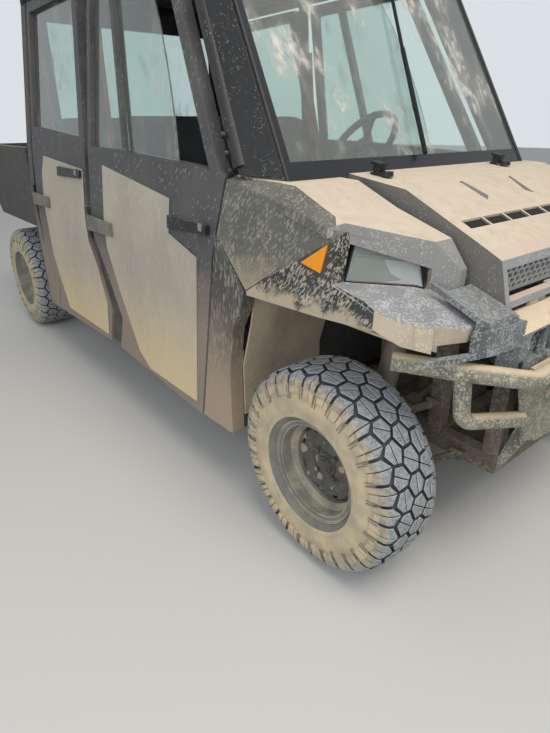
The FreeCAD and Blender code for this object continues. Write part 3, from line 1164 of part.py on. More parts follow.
bed = body("cargo_bed", REAR_AXLE)
BED_UNDER = "(bed_floor - bed_base)"
slab(bed, "XY", BED_UNDER, "bed_floor", [box("-bed_rear", "bed_front", "-bed_half", "bed_half")])
for side in (1, -1):
    inner, outer = sorted((f"{side} * (bed_half - bed_wall)", f"{side} * bed_half"), key=value)
    slab(bed, "XZ", inner, outer, [[
        ("-bed_rear", "bed_skirt + 60"), ("-bed_rear + 60", "bed_skirt"), ("bed_front", "bed_skirt"),
        ("bed_front", "bed_rail"), ("-bed_rear", "bed_rail")]])
slab(bed, "YZ", "bed_front - bed_wall", "bed_front", [box("-bed_half", "bed_half", BED_UNDER, "bed_rail")])
GATE_HINGE = "(-bed_rear - gate_gap - 3 - gate_thick / 2)"
for side in (1, -1):
    inner, outer = sorted((f"{side} * 252", f"{side} * ({RAIL_OUTER} - 1)"), key=value)
    slab(bed, "XZ", inner, outer, [], [("-bed_pivot_back", "bed_pivot_height", "pivot_radius")])
    slab(bed, "XZ", inner, outer, [box("-bed_pivot_back - pivot_radius",
                                       "-bed_pivot_back + pivot_radius", "bed_pivot_height",
                                       f"{BED_UNDER} + 1")])
    inner, outer = sorted((f"{side} * 461", f"{side} * 500"), key=value)
    slab(bed, "XZ", inner, outer, [], [(GATE_HINGE, "bed_floor - 12", "gate_hinge_radius")])
    slab(bed, "XZ", inner, outer, [box(GATE_HINGE, "-bed_rear + 1", "bed_floor - 18",
                                       "bed_floor - 6")])
tail_lamps = body("tail_lamp", REAR_AXLE)
slab(tail_lamps, "YZ", "-bed_rear - 18", "-bed_rear - seat_gap", [
    box("bed_half - 66", "bed_half - 8", "bed_floor + 60", "bed_floor + 230")])
pair("tail_lamps", tail_lamps)
gate = body("tailgate", REAR_AXLE)
slab(gate, "YZ", "-bed_rear - gate_gap - gate_thick", "-bed_rear - gate_gap - 3", [
    box("-(bed_half - 74)", "bed_half - 74", "bed_floor + 3", "bed_rail")])
for side in (1, -1):
    inner, outer = sorted((f"{side} * 400", f"{side} * (461 - seat_gap)"), key=value)
    slab(gate, "XZ", inner, outer, [], [(GATE_HINGE, "bed_floor - 12", "gate_hinge_radius")])
    slab(gate, "XZ", inner, outer, [box(f"{GATE_HINGE} - 7", f"{GATE_HINGE} + 7", "bed_floor - 12",
                                        "bed_floor + 4")])

# Every piece is checked, then written to a file of its own name

NODES = (
    "chassis_frame", "cab_tub", "rear_corner_panels", "front_fenders", "footwell_sides",
    "wheel_arch_liners", "front_fascia", "hood", "hood_fittings", "headlamps", "side_markers",
    "roll_cage", "windscreen", "roof", "rear_wall", "rear_window", "dashboard", "steering_column",
    "steering_wheel", "seat_bases", "front_seat", "rear_seat", "brush_guard", "suspension_arms",
    "shock_absorbers", "drive_shafts", "rear_hub_carriers", "power_unit", "silencer", "tow_hitch",
    "wiper", "cargo_bed", "tail_lamps", "tailgate", "knuckle_front_left", "knuckle_front_right",
    *(f"{piece}_{axle}_{name}" for piece in ("tyre", "rim") for axle, _ in AXLES for name, _ in SIDES),
    *(f"{end}_door_{piece}_{name}" for end in ("front", "rear")
      for piece in ("shell", "glass", "fittings") for name, _ in SIDES),
)

doc.recompute()
for item in doc.Objects:
    if "Invalid" in item.State or "Error" in item.State:
        raise RuntimeError(f"{item.Label} failed to build")
for before, after in CUTS:
    if before.Shape.Volume - after.Shape.Volume < 1:
        raise RuntimeError(f"{after.Label} cuts nothing")
for node in NODES:
    shape = doc.getObjectsByLabel(node)[0].Shape
    if shape.isNull() or not shape.isValid() or not shape.Solids:
        raise RuntimeError(f"{node} is not a valid solid")
    shape.exportStep(f"parts/{node}.step")
    print(node, len(shape.Solids), "solids")
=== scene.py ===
"""Dresses a crew side by side utility vehicle: muddy panels, knobbly tyres, soft seats and glass.

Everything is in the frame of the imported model: X forward, Y to the vehicle's left, Z up, in metres.
"""

import json
import logging
import math
import random
from dataclasses import dataclass
from enum import Enum, IntEnum
from functools import partial
from typing import Callable, Iterable, Sequence

import bmesh
import bpy
from mathutils import Matrix, Vector

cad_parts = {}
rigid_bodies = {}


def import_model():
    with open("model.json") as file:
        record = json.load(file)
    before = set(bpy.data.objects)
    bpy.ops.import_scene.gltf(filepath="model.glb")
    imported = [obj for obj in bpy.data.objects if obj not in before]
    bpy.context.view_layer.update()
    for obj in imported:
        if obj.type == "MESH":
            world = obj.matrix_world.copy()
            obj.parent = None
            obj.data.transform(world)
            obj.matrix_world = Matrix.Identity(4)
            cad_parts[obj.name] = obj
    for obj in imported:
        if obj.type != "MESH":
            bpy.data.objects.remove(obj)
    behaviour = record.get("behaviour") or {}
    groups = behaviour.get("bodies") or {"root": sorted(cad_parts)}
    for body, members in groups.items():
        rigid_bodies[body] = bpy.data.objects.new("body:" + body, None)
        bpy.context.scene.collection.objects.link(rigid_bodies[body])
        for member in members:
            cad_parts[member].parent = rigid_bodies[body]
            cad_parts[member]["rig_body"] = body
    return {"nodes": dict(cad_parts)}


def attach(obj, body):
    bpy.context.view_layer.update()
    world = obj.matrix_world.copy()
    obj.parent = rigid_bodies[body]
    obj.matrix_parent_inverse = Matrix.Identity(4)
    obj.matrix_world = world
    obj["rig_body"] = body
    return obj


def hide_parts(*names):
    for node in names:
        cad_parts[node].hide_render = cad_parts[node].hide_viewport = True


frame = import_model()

LOG = logging.getLogger("utility_vehicle")
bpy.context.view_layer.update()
MM = 0.001
FRONT_AXLE = 1.430
REAR_AXLE = -1.470
AXLE_HEIGHT = 0.330
SIDES = (("left", 1.0), ("right", -1.0))
Point = tuple[float, float, float]
Pair = tuple[float, float]


class Slot(str, Enum):
    """The record's material slot names; no piece in this script is given one."""

    PANEL = "painted_panel"
    DARK = "dark_panel"
    STEEL = "black_steel"
    GUARD = "guard_steel"
    LENS = "lamp_lens"
    AMBER = "amber_lens"
    RED = "red_lens"
    FABRIC = "seat_fabric"
    TYRE = "tyre_rubber"
    CAST = "cast_part"


# Finishes


def linear(code: str) -> tuple[float, float, float, float]:
    """Turn an sRGB hex colour into a linear one.

    Args:
        code: a colour such as "#B8A68E".

    Returns:
        Red, green, blue and an alpha of one.
    """
    parts = [int(code[start:start + 2], 16) / 255 for start in (1, 3, 5)]
    return (*[part / 12.92 if part <= 0.04045 else ((part + 0.055) / 1.055) ** 2.4 for part in parts], 1.0)


def add_node(tree: bpy.types.NodeTree, kind: str, links: dict | None = None, values: dict | None = None,
             **settings: object) -> bpy.types.Node:
    """Add a shader node with its settings, socket values and links.

    Args:
        tree: the material's or world's node tree.
        kind: the node's type name.
        links: input socket name or number to the output socket that feeds it.
        values: input socket name or number to its value.
        settings: the node's own properties.

    Returns:
        The new node.
    """
    node = tree.nodes.new(kind)
    for name, setting in settings.items():
        setattr(node, name, setting)
    for name, number in (values or {}).items():
        node.inputs[name].default_value = number
    for name, source in (links or {}).items():
        tree.links.new(source, node.inputs[name])
    return node


def sum_of(tree: bpy.types.NodeTree, *parts: bpy.types.NodeSocket) -> bpy.types.NodeSocket:
    """Add several values and keep the result between nought and one.

    Args:
        tree: the material's node tree.
        parts: the values.

    Returns:
        The sum's output.
    """
    total = parts[0]
    for part in parts[1:]:
        total = add_node(tree, "ShaderNodeMath", {0: total, 1: part}, operation="ADD",
                         use_clamp=True).outputs[0]
    return total


def mottled(tree: bpy.types.NodeTree, place: bpy.types.NodeSocket, size_mm: float,
            stretch: Point = (1, 1, 1), detail: float = 3.0) -> bpy.types.NodeSocket:
    """Lay an uneven pattern over the surface, whose patches have a real size.

    Args:
        tree: the material's node tree.
        place: the place on the vehicle, in metres.
        size_mm: the size of a patch.
        stretch: how much longer the patches are along each axis.
        detail: how many finer layers lie over them.

    Returns:
        The pattern's output, nought to one.
    """
    scaled = add_node(tree, "ShaderNodeMapping", {"Vector": place}, {
        "Scale": tuple(1 / (MM * size_mm * length) for length in stretch)})
    return add_node(tree, "ShaderNodeTexNoise", {"Vector": scaled.outputs[0]},
                    {"Scale": 1.0, "Detail": detail, "Roughness": 0.6}).outputs["Fac"]


@dataclass(frozen=True)
class Finish:
    """What every finish has: a name, and a material that is built once and then shared."""

    name: str

    def build(self) -> bpy.types.Material:
        """Find the material by its name, or build it.

        Returns:
            The material.
        """
        made = bpy.data.materials.get(self.name)
        if made is None:
            made = bpy.data.materials.new(self.name)
            made.use_nodes = True
            self.fill(made.node_tree, made.node_tree.nodes["Principled BSDF"])
        return made

    def fill(self, tree: bpy.types.NodeTree, shader: bpy.types.Node) -> None:
        """Set the material's nodes up round its main shader."""
        raise NotImplementedError


@dataclass(frozen=True)
class Spatter:
    """Mud thrown at a surface: flecks of many sizes, longer along the way that they flew."""

    share: float
    width_mm: float = 7.0
    length: float = 1.0
    slant: float = 0.0
    strength: float = 0.8

    def mask(self, tree: bpy.types.NodeTree, place: bpy.types.NodeSocket) -> bpy.types.NodeSocket:
        """Build the mask of flecks, one to a cell of a Voronoi pattern and thinned out in clouds.

        Args:
            tree: the material's node tree.
            place: the place on the vehicle, in metres.

        Returns:
            How thick the mud lies, nought to one.
        """
        wide = self.width_mm * MM
        turned = add_node(tree, "ShaderNodeMapping", {"Vector": place}, {
            "Rotation": (0.0, math.radians(self.slant), 0.0), "Scale": (wide, wide, wide * self.length)},
            vector_type="TEXTURE")
        cells = add_node(tree, "ShaderNodeTexVoronoi", {"Vector": turned.outputs[0]}, {"Scale": 1.0})
        size = add_node(tree, "ShaderNodeSeparateColor", {0: cells.outputs["Color"]})
        cloud = mottled(tree, place, self.width_mm * 12.0)
        crowd = add_node(tree, "ShaderNodeMapRange", {"Value": cloud}, {
            "From Min": 0.35, "From Max": 0.62, "To Min": 0.35 * self.share, "To Max": self.share},
            interpolation_type="SMOOTHSTEP")
        reach = add_node(tree, "ShaderNodeMath", {0: size.outputs[0], 1: crowd.outputs[0]},
                         operation="MULTIPLY")
        inside = add_node(tree, "ShaderNodeMath", {0: reach.outputs[0], 1: cells.outputs["Distance"]},
                          operation="SUBTRACT")
        return add_node(tree, "ShaderNodeMapRange", {"Value": inside.outputs[0]}, {
            "From Min": 0.0, "From Max": 0.09, "To Max": self.strength},
            interpolation_type="SMOOTHSTEP").outputs[0]


@dataclass(frozen=True)
class Muddy(Finish):
    """A surface under dried mud: an even film, spatter, a coat near the ground and, on what faces up,
    dust that is partly painted sunlight, with blotches of painted shade.

    low holds the coat's foot and head heights in metres and how thick it is at the foot.
    """

    base: str
    roughness: float
    mud: str = "#8F8676"
    film: float = 0.3
    patch_mm: float = 160.0
    streak: float = 1.4
    fleck: str = "#B4AE9F"
    spatter: tuple[Spatter, ...] = ()
    # on what faces up: the colour of dust as it looks in sunlight, so partly painted sunlight, the colour
    # of the painted shade in its blotches, and how thick both lie
    dust: str = "#EBDCC8"
    shade: str = "#CDBCA6"
    top_dust_and_sunlight: float = 0.0
    low_mud: str = "#A89880"
    low: Point = (0.0, 0.1, 0.0)
    metallic: float = 0.0
    bump_mm: float = 0.3
    tone_mm: float = 38.0
    grain_mm: float = 2.2
    dry: float = 0.92

    def fill(self, tree: bpy.types.NodeTree, shader: bpy.types.Node) -> None:
        """Lay each coat of mud over the one before, and roughen and raise the surface where it lies.

        Args:
            tree: the material's node tree.
            shader: its main shader.
        """
        place = add_node(tree, "ShaderNodeTexCoord").outputs
        spot = place["Object"]
        height = add_node(tree, "ShaderNodeSeparateXYZ", {0: spot}).outputs["Z"]
        upward = add_node(tree, "ShaderNodeSeparateXYZ", {0: place["Normal"]}).outputs["Z"]
        # blotches of a few centimetres, and clouds in which the thin film of mud comes and goes
        tone = mottled(tree, spot, self.tone_mm, (1, 1, 1.2), 5.0)
        cloud = mottled(tree, spot, self.patch_mm, (1, 1, self.streak), 4.0)
        film = add_node(tree, "ShaderNodeMapRange", {"Value": cloud}, {
            "From Min": 0.32, "From Max": 0.68, "To Min": self.film * 0.35,
            "To Max": min(self.film * 1.65, 1.0)}, interpolation_type="SMOOTHSTEP").outputs[0]
        flecks = [kind.mask(tree, spot) for kind in self.spatter]
        # the coat that the wheels threw up, thinner with height and ragged at its upper edge
        foot, head, gain = self.low
        ragged = add_node(tree, "ShaderNodeMath", {0: tone, 2: height}, {1: 0.16}, operation="MULTIPLY_ADD")
        lower = add_node(tree, "ShaderNodeMapRange", {"Value": ragged.outputs[0]}, {
            "From Min": foot + 0.08, "From Max": head + 0.08, "To Min": gain, "To Max": 0.0},
            interpolation_type="SMOOTHSTEP").outputs[0]
        # dust on what faces up, as light as sunlit dust and so partly painted sunlight, with blotches of
        # painted shade in the shade colour over it
        dust_and_sunlight_share = add_node(tree, "ShaderNodeMapRange", {"Value": upward}, {
            "From Min": 0.45, "From Max": 0.9, "To Max": self.top_dust_and_sunlight},
            interpolation_type="SMOOTHSTEP").outputs[0]
        blotches = add_node(tree, "ShaderNodeMapRange", {"Value": tone}, {
            "From Min": 0.42, "From Max": 0.72, "To Max": 0.55}, interpolation_type="SMOOTHSTEP")
        painted_shade_share = add_node(tree, "ShaderNodeMath", {0: blotches.outputs[0], 1: dust_and_sunlight_share},
                           operation="MULTIPLY").outputs[0]
        # each coat lies over the one before it, and the first over the bare surface
        ground = add_node(tree, "ShaderNodeRGB")
        ground.outputs[0].default_value = linear(self.base)
        colour = ground.outputs[0]
        for coat, share in ((self.mud, film), *[(self.fleck, mask) for mask in flecks],
                            (self.low_mud, lower), (self.dust, dust_and_sunlight_share), (self.shade, painted_shade_share)):
            colour = add_node(tree, "ShaderNodeMix", {"Factor": share, "A": colour}, {"B": linear(coat)},
                              data_type="RGBA").outputs["Result"]
        tree.links.new(colour, shader.inputs["Base Color"])
        # where anything lies the surface is dry and rough, and no metal shows
        cover = sum_of(tree, film, lower, dust_and_sunlight_share, *flecks)
        for name, bare, covered in (("Roughness", self.roughness, self.dry),
                                    ("Metallic", self.metallic, 0.0)):
            if bare:
                share = add_node(tree, "ShaderNodeMapRange", {"Value": cover}, {
                    "To Min": bare, "To Max": covered})
                tree.links.new(share.outputs[0], shader.inputs[name])
        # fine grain, blotches and flecks raise it
        grain = mottled(tree, spot, self.grain_mm, detail=2.0)
        fine = add_node(tree, "ShaderNodeMapRange", {"Value": grain}, {
            "From Min": 0.3, "From Max": 0.7, "To Max": 0.35}, interpolation_type="SMOOTHSTEP")
        swell = add_node(tree, "ShaderNodeMapRange", {"Value": tone}, {
            "From Min": 0.2, "From Max": 0.8, "To Max": 0.4}, interpolation_type="SMOOTHSTEP")
        relief = sum_of(tree, fine.outputs[0], swell.outputs[0], *flecks)
        bump = add_node(tree, "ShaderNodeBump", {"Height": relief}, {
            "Strength": 0.6, "Distance": self.bump_mm * MM})
        tree.links.new(bump.outputs[0], shader.inputs["Normal"])


@dataclass(frozen=True)
class Pane(Finish):
    """Glass or clear plastic with dust on it, run down in streaks."""

    tint: str
    dust: float
    roughness: float = 0.02
    streak: Point = (1, 1, 3)
    film: float = 0.04
    powder: str = "#D8D4CC"
    patch_mm: float = 190.0
    run_mm: float = 26.0

    def fill(self, tree: bpy.types.NodeTree, shader: bpy.types.Node) -> None:
        """Make clear glass, with dust that scatters light laid over it.

        Args:
            tree: the material's node tree.
            shader: its main shader.
        """
        for name, value in (("Base Color", linear(self.tint)), ("Roughness", self.roughness),
                            ("Transmission Weight", 1.0), ("IOR", 1.45)):
            shader.inputs[name].default_value = value
        spot = add_node(tree, "ShaderNodeTexCoord").outputs["Object"]
        broad = add_node(tree, "ShaderNodeMapRange", {
            "Value": mottled(tree, spot, self.patch_mm, (1, 1, 1.8))}, {
            "From Min": 0.5, "From Max": 0.72}, interpolation_type="SMOOTHSTEP")
        runs = add_node(tree, "ShaderNodeMapRange", {
            "Value": mottled(tree, spot, self.run_mm, self.streak, 5.0)}, {
            "From Min": 0.42, "From Max": 0.7, "To Min": 0.15}, interpolation_type="SMOOTHSTEP")
        patch = add_node(tree, "ShaderNodeMath", {0: broad.outputs[0], 1: runs.outputs[0]},
                         operation="MULTIPLY")
        haze = add_node(tree, "ShaderNodeMath", {0: patch.outputs[0]}, {1: self.dust, 2: self.film},
                        operation="MULTIPLY_ADD", use_clamp=True)
        powder = add_node(tree, "ShaderNodeBsdfDiffuse", values={"Color": linear(self.powder)})
        mix = add_node(tree, "ShaderNodeMixShader", {
            0: haze.outputs[0], 1: shader.outputs[0], 2: powder.outputs[0]})
        tree.links.new(mix.outputs[0], tree.nodes["Material Output"].inputs["Surface"])


@dataclass(frozen=True)
class Plain(Finish):
    """A clean surface of one colour, as inside lamps."""

    base: str
    roughness: float
    metallic: float = 0.0
    coat: float = 0.0

    def fill(self, tree: bpy.types.NodeTree, shader: bpy.types.Node) -> None:
        """Set the shader's colour, roughness, metallic share and clear coat."""
        for name, value in (("Base Color", linear(self.base)), ("Roughness", self.roughness),
                            ("Metallic", self.metallic), ("Coat Weight", self.coat)):
            shader.inputs[name].default_value = value


# Mud thrown back and down by the front wheels, in thin and in thick slanting flecks
SLANTED = (Spatter(0.85, 3.6, 5.0, 32.0, 0.5), Spatter(0.6, 6.0, 3.2, 26.0, 0.5))
THICK_SLANTED = (Spatter(0.98, 4.2, 4.6, 31.0, 0.8), Spatter(0.8, 6.5, 3.4, 26.0, 0.7))
# Round splashes, mud that ran down, and fine specks
ROUND = (Spatter(0.95, 4.2, 1.3, 0.0, 0.7), Spatter(0.75, 8.0, 1.3, 0.0, 0.6))
RUN_DOWN = (Spatter(0.85, 4.0, 9.0, 8.0, 0.6), Spatter(0.6, 7.0, 6.0, 4.0, 0.5))
SPECKS = (Spatter(0.62, 4.2, 1.4, 0.0, 0.5), Spatter(0.42, 8.0, 1.2, 0.0, 0.45))
# Moulded polypropylene, tan-grey through; the copy for its tops is painted light, where dust and
# painted sunlight hide the plastic
PANEL_TOP = Muddy("moulded_panel_dust_and_sunlight_top", "#8B8174", 0.5, mud="#B9AC9A", film=0.6, fleck="#F0E6D6",
                  spatter=SPECKS, dust="#D0C2AE", shade="#B6A692", top_dust_and_sunlight=0.86, bump_mm=0.35)
# The hood's last facet over the grille, smoother and pinker: a copy of the same plastic with the
# sunlight on this facet painted in
NOSE_TOP = Muddy("hood_nose_facet", "#9A8E80", 0.45, mud="#BFAF9F", film=0.6, dust="#CDBAAA",
                 shade="#C0AE9E", top_dust_and_sunlight=0.9, bump_mm=0.15)
# The same plastic on the flanks, a darker copy in painted shade: dark olive grey with slanting flecks,
# tan near the wheel arch
PANEL_SIDE = Muddy("moulded_panel_spattered", "#56554E", 0.55, mud="#706E65", film=0.35,
                   fleck="#A7A294", spatter=SLANTED, low=(0.84, 0.985, 0.8), low_mud="#9C917B",
                   bump_mm=0.3)
# The black lower fender, thick with long slanting flecks, and tan where the wheel throws mud over its edge
FLARE = Muddy("flare_spattered", "#232525", 0.6, mud="#484845", film=0.35, fleck="#ADA695",
              spatter=THICK_SLANTED, top_dust_and_sunlight=0.4, low=(0.84, 0.888, 1.0), low_mud="#A99C85",
              bump_mm=0.35)
# Grey plastic round the lamps with fine pale specks
BROW = Muddy("lamp_surround_speckled", "#7B7C79", 0.5, mud="#8E8E8A", film=0.5, fleck="#C3C2BC",
             spatter=SPECKS, bump_mm=0.25)
# The shelf under the lamps, greyer with painted shade from the brow, and thicker with round splashes
SHELF = Muddy("lamp_shelf_speckled", "#7F7F80", 0.55, mud="#929293", film=0.5, fleck="#BFC0C2",
              spatter=ROUND, bump_mm=0.3)
# The fender's front corner under an even coat of tan dust, painted lighter still as sunlit
CORNER = Muddy("fender_corner_tan", "#9C907C", 0.6, mud="#BCAE98", film=0.7, fleck="#D8CCB8",
               spatter=SPECKS, dust="#DFCDB4", top_dust_and_sunlight=0.9, bump_mm=0.25)
# The hood's flanks in their own shade, with pale specks towards the nose
HOOD_SIDE = Muddy("hood_side_speckled", "#65625C", 0.5, mud="#77746D", film=0.45, fleck="#A19D93",
                  spatter=SPECKS, bump_mm=0.25)
# The nose below the hood's last break, grey-blue with fine specks
NOSE_FRONT = Muddy("nose_front_speckled", "#86888A", 0.5, mud="#96989A", film=0.5, fleck="#BFC0BF",
                   spatter=SPECKS, dust="#E6D2BC", top_dust_and_sunlight=0.9, bump_mm=0.25)
# Door frame: dark grey plastic with rubbed streaks above, tan near the sill
DOOR_FRAME = Muddy("door_frame_streaked", "#3A3A3C", 0.5, mud="#5F5D5B", film=0.4, patch_mm=190.0,
                   streak=0.8, fleck="#9B9791", spatter=(Spatter(0.5, 8.0, 3.0, 42.0, 0.5),),
                   low=(0.55, 0.98, 0.75), low_mud="#97897A", bump_mm=0.2)
# Painted door skin, warm light grey with long faint streaks, ochre mud near the sill
DOOR_SKIN = Muddy("door_skin_streaked", "#9C9588", 0.38, mud="#B6AC9A", film=0.55, patch_mm=240.0,
                  streak=2.2, fleck="#D2CABB",
                  spatter=(Spatter(0.5, 5.0, 12.0, 4.0, 0.45), Spatter(0.42, 9.0, 9.0, -6.0, 0.35)),
                  low=(0.30, 0.78, 0.75), low_mud="#D3BD8F", bump_mm=0.12)
# Black polypropylene moulding with a grained surface, greyed by dust
BLACK_MOULDING = Muddy("black_moulding_dusty", "#2E2E2E", 0.6, mud="#55524D", film=0.35,
                       fleck="#8D877B", spatter=SPECKS, dust="#A99E8E", shade="#8A8072", top_dust_and_sunlight=0.6,
                       bump_mm=0.3)
# Charcoal panel beside the footwell, streaked down, with a tan foot
FOOTWELL = Muddy("footwell_streaked", "#353635", 0.6, mud="#5E5C57", film=0.45, patch_mm=110.0,
                 streak=3.0, fleck="#A39C8C", spatter=RUN_DOWN, low=(0.34, 0.86, 1.0),
                 low_mud="#A08E79", bump_mm=0.35)
# Arch liner caked with smooth tan mud
LINER = Muddy("arch_liner_tan", "#8F8371", 0.7, mud="#BDAE96", film=0.7, patch_mm=220.0,
              fleck="#4E463B", spatter=(Spatter(0.45, 7.0, 1.4, 0.0, 0.5),), bump_mm=0.5)
# The fascia's charcoal moulding, thick with round blue-grey spatter
SPATTERED = Muddy("fascia_spattered", "#484C4E", 0.55, mud="#787C7D", film=0.55, fleck="#A9ADAC",
                  spatter=ROUND, dust="#8D8E8A", shade="#77797A", top_dust_and_sunlight=0.35, bump_mm=0.4)
# The tan band across the fascia, above its mesh
BAND = Muddy("fascia_band_tan", "#A8967F", 0.55, mud="#C8B59C", film=0.7, fleck="#E2D3BC",
             spatter=SPECKS, dust="#DFCBAF", top_dust_and_sunlight=0.9, bump_mm=0.25)
# Satin powder coat on the cab's tubes, with pale spots
BLACK_COAT = Muddy("black_powder_coat", "#0F1013", 0.45, mud="#3E3D3B", film=0.1, fleck="#8F8C84",
                   spatter=(Spatter(0.45, 6.0, 1.2, 0.0, 0.55),), dust="#5B574F", top_dust_and_sunlight=0.3,
                   bump_mm=0.2)
# Worn cream paint over steel tube, caked with pale mud on top, where painted sunlight lightens it too
GUARD_PAINT = Muddy("guard_tube_caked", "#545850", 0.5, mud="#8E8B79", film=0.55, patch_mm=90.0,
                    fleck="#BAB4A2", spatter=ROUND, dust="#D9C6A6", shade="#B9A888", top_dust_and_sunlight=0.8,
                    bump_mm=1.1)
# Frame and suspension steel under a thick brown-grey coat
FRAME_MUD = Muddy("frame_steel_caked", "#3A3732", 0.6, mud="#6E6558", film=0.6, fleck="#8C8272",
                  spatter=ROUND, dust="#8F836F", top_dust_and_sunlight=0.5, bump_mm=0.8)
# Tread rubber, grey where dust lies on the blocks' tops, with dark pits
TREAD = Muddy("tread_rubber_dusty", "#777A7E", 0.78, mud="#9EA1A3", film=0.6, patch_mm=15.0, streak=1.0,
              fleck="#3B3D41",
              spatter=(Spatter(0.62, 5.0, 1.0, 0.0, 0.6), Spatter(0.6, 2.6, 1.0, 0.0, 0.5)),
              bump_mm=0.7)
# The blocks' edges, scuffed pale
TREAD_EDGE = Muddy("tread_edge_scuffed", "#8D9093", 0.8, mud="#ADAEAE", film=0.5, patch_mm=20.0,
                   bump_mm=0.4)
# The blocks' flanks and the tread's floor, where the rubber stays dark
TREAD_FLOOR = Muddy("tread_floor", "#34373B", 0.85, mud="#55575A", film=0.4, patch_mm=40.0, bump_mm=0.5)
# The shoulder, where grey tread dust runs into the wall's tan mud
SHOULDER = Muddy("tread_shoulder_mixed", "#7D7B74", 0.8, mud="#B0A48A", film=0.6, patch_mm=22.0,
                 streak=1.0, fleck="#55554F", spatter=(Spatter(0.5, 5.0, 1.0, 0.0, 0.5),), bump_mm=0.6)
# Sidewall rubber under a smooth skin of dried tan mud
SIDEWALL = Muddy("sidewall_mud_skin", "#9A917F", 0.8, mud="#C2B290", film=0.8, patch_mm=85.0,
                 streak=1.0, fleck="#8E8676", spatter=(Spatter(0.35, 9.0, 1.2, 0.0, 0.4),), bump_mm=0.5)
# The bead's ring beside the rim, greyer than the wall
BEAD = Muddy("bead_ring_grey", "#63625F", 0.75, mud="#8B867B", film=0.4, patch_mm=60.0, bump_mm=0.4)
# Black painted wheel steel, mud lying in its wells
RIM_STEEL = Muddy("wheel_steel_muddy", "#3A3A3B", 0.45, mud="#77715F", film=0.25, patch_mm=30.0,
                  fleck="#A1967F",
                  spatter=(Spatter(0.62, 34.0, 1.0, 0.0, 0.85), Spatter(0.5, 9.0, 1.2, 0.0, 0.5)),
                  bump_mm=0.5)
# The lips and the barrel of the wheel, greyed all over by dust
RIM_LIP = Muddy("wheel_lip_dusty", "#6A6A66", 0.5, mud="#A69F8A", film=0.6, patch_mm=60.0, bump_mm=0.4)
# Hinge covers: taupe moulding, dusty on its face
HINGE_COVER = Muddy("hinge_cover_dusty", "#4F4B47", 0.55, mud="#7A736A", film=0.65, fleck="#AFA696",
                    spatter=SPECKS, bump_mm=0.2)
# Moulded cabin plastic, near black with dust on what faces up
CABIN_PLASTIC = Muddy("cabin_plastic", "#2A2B30", 0.6, mud="#4A4845", film=0.2, dust="#6E6A64",
                      top_dust_and_sunlight=0.35, bump_mm=0.1)
# Coated seat cloth, dull slate grey
SEAT_CLOTH = Muddy("seat_cloth", "#303338", 0.75, mud="#4F4D49", film=0.25, patch_mm=90.0, top_dust_and_sunlight=0.2,
                   dust="#6B6860", bump_mm=0.25)
# Woven belt, burnt orange
BELT_WEB = Plain("belt_webbing_orange", "#B4502A", 0.8)
# Coil springs and rods, bare steel that shows through thin mud
SPRING_STEEL = Muddy("spring_steel", "#6D6A64", 0.4, metallic=0.5, film=0.5, mud="#857A69", bump_mm=0.3)
# Cast housings and uprights, rough brown-grey under caked mud
CAST_IRON = Muddy("cast_housing", "#4A4641", 0.65, mud="#75695A", film=0.55, fleck="#94876F",
                  spatter=ROUND, metallic=0.2, bump_mm=0.8)
# Rolled sheet of the silencer, a dull metal gleam
SILENCER_SHEET = Muddy("silencer_sheet", "#7A736B", 0.45, metallic=0.8, film=0.4, bump_mm=0.2)
# Moulded rubber, dull black
RUBBER_BOOT = Plain("rubber_boot", "#1B1B1B", 0.7)
LATCH_RUBBER = Plain("latch_rubber", "#1A1B1D", 0.5)
# Tempered side glass, pale green with a thin film of dust
WINDOW = Pane("window_glass_green", "#D6EAE4", 0.4, film=0.06)
# The windscreen's laminated glass, with dust in long streaks
SCREEN = Pane("windscreen_glass_dusty", "#DDF3EE", 0.8, streak=(1, 1, 4), film=0.10)
# Polycarbonate lens, clouded by fine scratches
LENS = Pane("lamp_lens_clear", "#EDF1F0", 0.4, roughness=0.06, film=0.30, powder="#A6ABA3",
            streak=(1, 1, 0.5))
# A near-white bar that is a painted highlight, and the silver shell, inside a lamp
LAMP_HIGHLIGHT = Plain("lamp_painted_highlight", "#DDE3E3", 0.2)
LAMP_SHELL = Plain("lamp_shell_silver", "#9DA39E", 0.4)
# The mesh of the nose grille, pale with dust against the painted shade behind it
MESH = Muddy("grille_mesh_dusty", "#A9ADAA", 0.5, mud="#C0C2BE", film=0.5, bump_mm=0.15)
# Moulded reflectors, saturated amber and deep red
AMBER = Plain("amber_reflector", "#E58C00", 0.35, coat=0.15)
RED = Plain("red_lens", "#8E1410", 0.2, coat=0.6)
# Black enamel printed on the screen's edge, glossy
FRIT = Plain("screen_edge_black", "#15171B", 0.3)
# Shadow in joints, slots and sockets
GAP_BLACK = Plain("shadow_black", "#0E0E0F", 0.9)
# Turned steel of the lock cylinders
LOCK_STEEL = Plain("lock_cylinder_steel", "#B7B5AE", 0.3, metallic=0.9)
# Clear-coated instrument face
GAUGE = Plain("instrument_face", "#3A3D42", 0.3, coat=0.4)


# Making pieces


def show(name: str, mesh: bpy.types.Mesh, body: str, finishes: Sequence[Finish],
         replaces: Iterable[str] = ()) -> bpy.types.Object:
    """Put a mesh in the scene as a named piece that rides on a body.

    Args:
        name: the piece's name.
        mesh: its mesh, in the row frame.
        body: the body that it moves with.
        finishes: its finishes, in the order of the mesh's material numbers.
        replaces: the CAD nodes that it stands for.

    Returns:
        The new object.
    """
    mesh.name = name
    for finish in finishes:
        mesh.materials.append(finish.build())
    piece = bpy.data.objects.new(name, mesh)
    bpy.context.scene.collection.objects.link(piece)
    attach(piece, body)
    names = list(replaces)
    if names:
        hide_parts(*names)
    LOG.info("%s on %s: %d faces", name, body, len(mesh.polygons))
    return piece


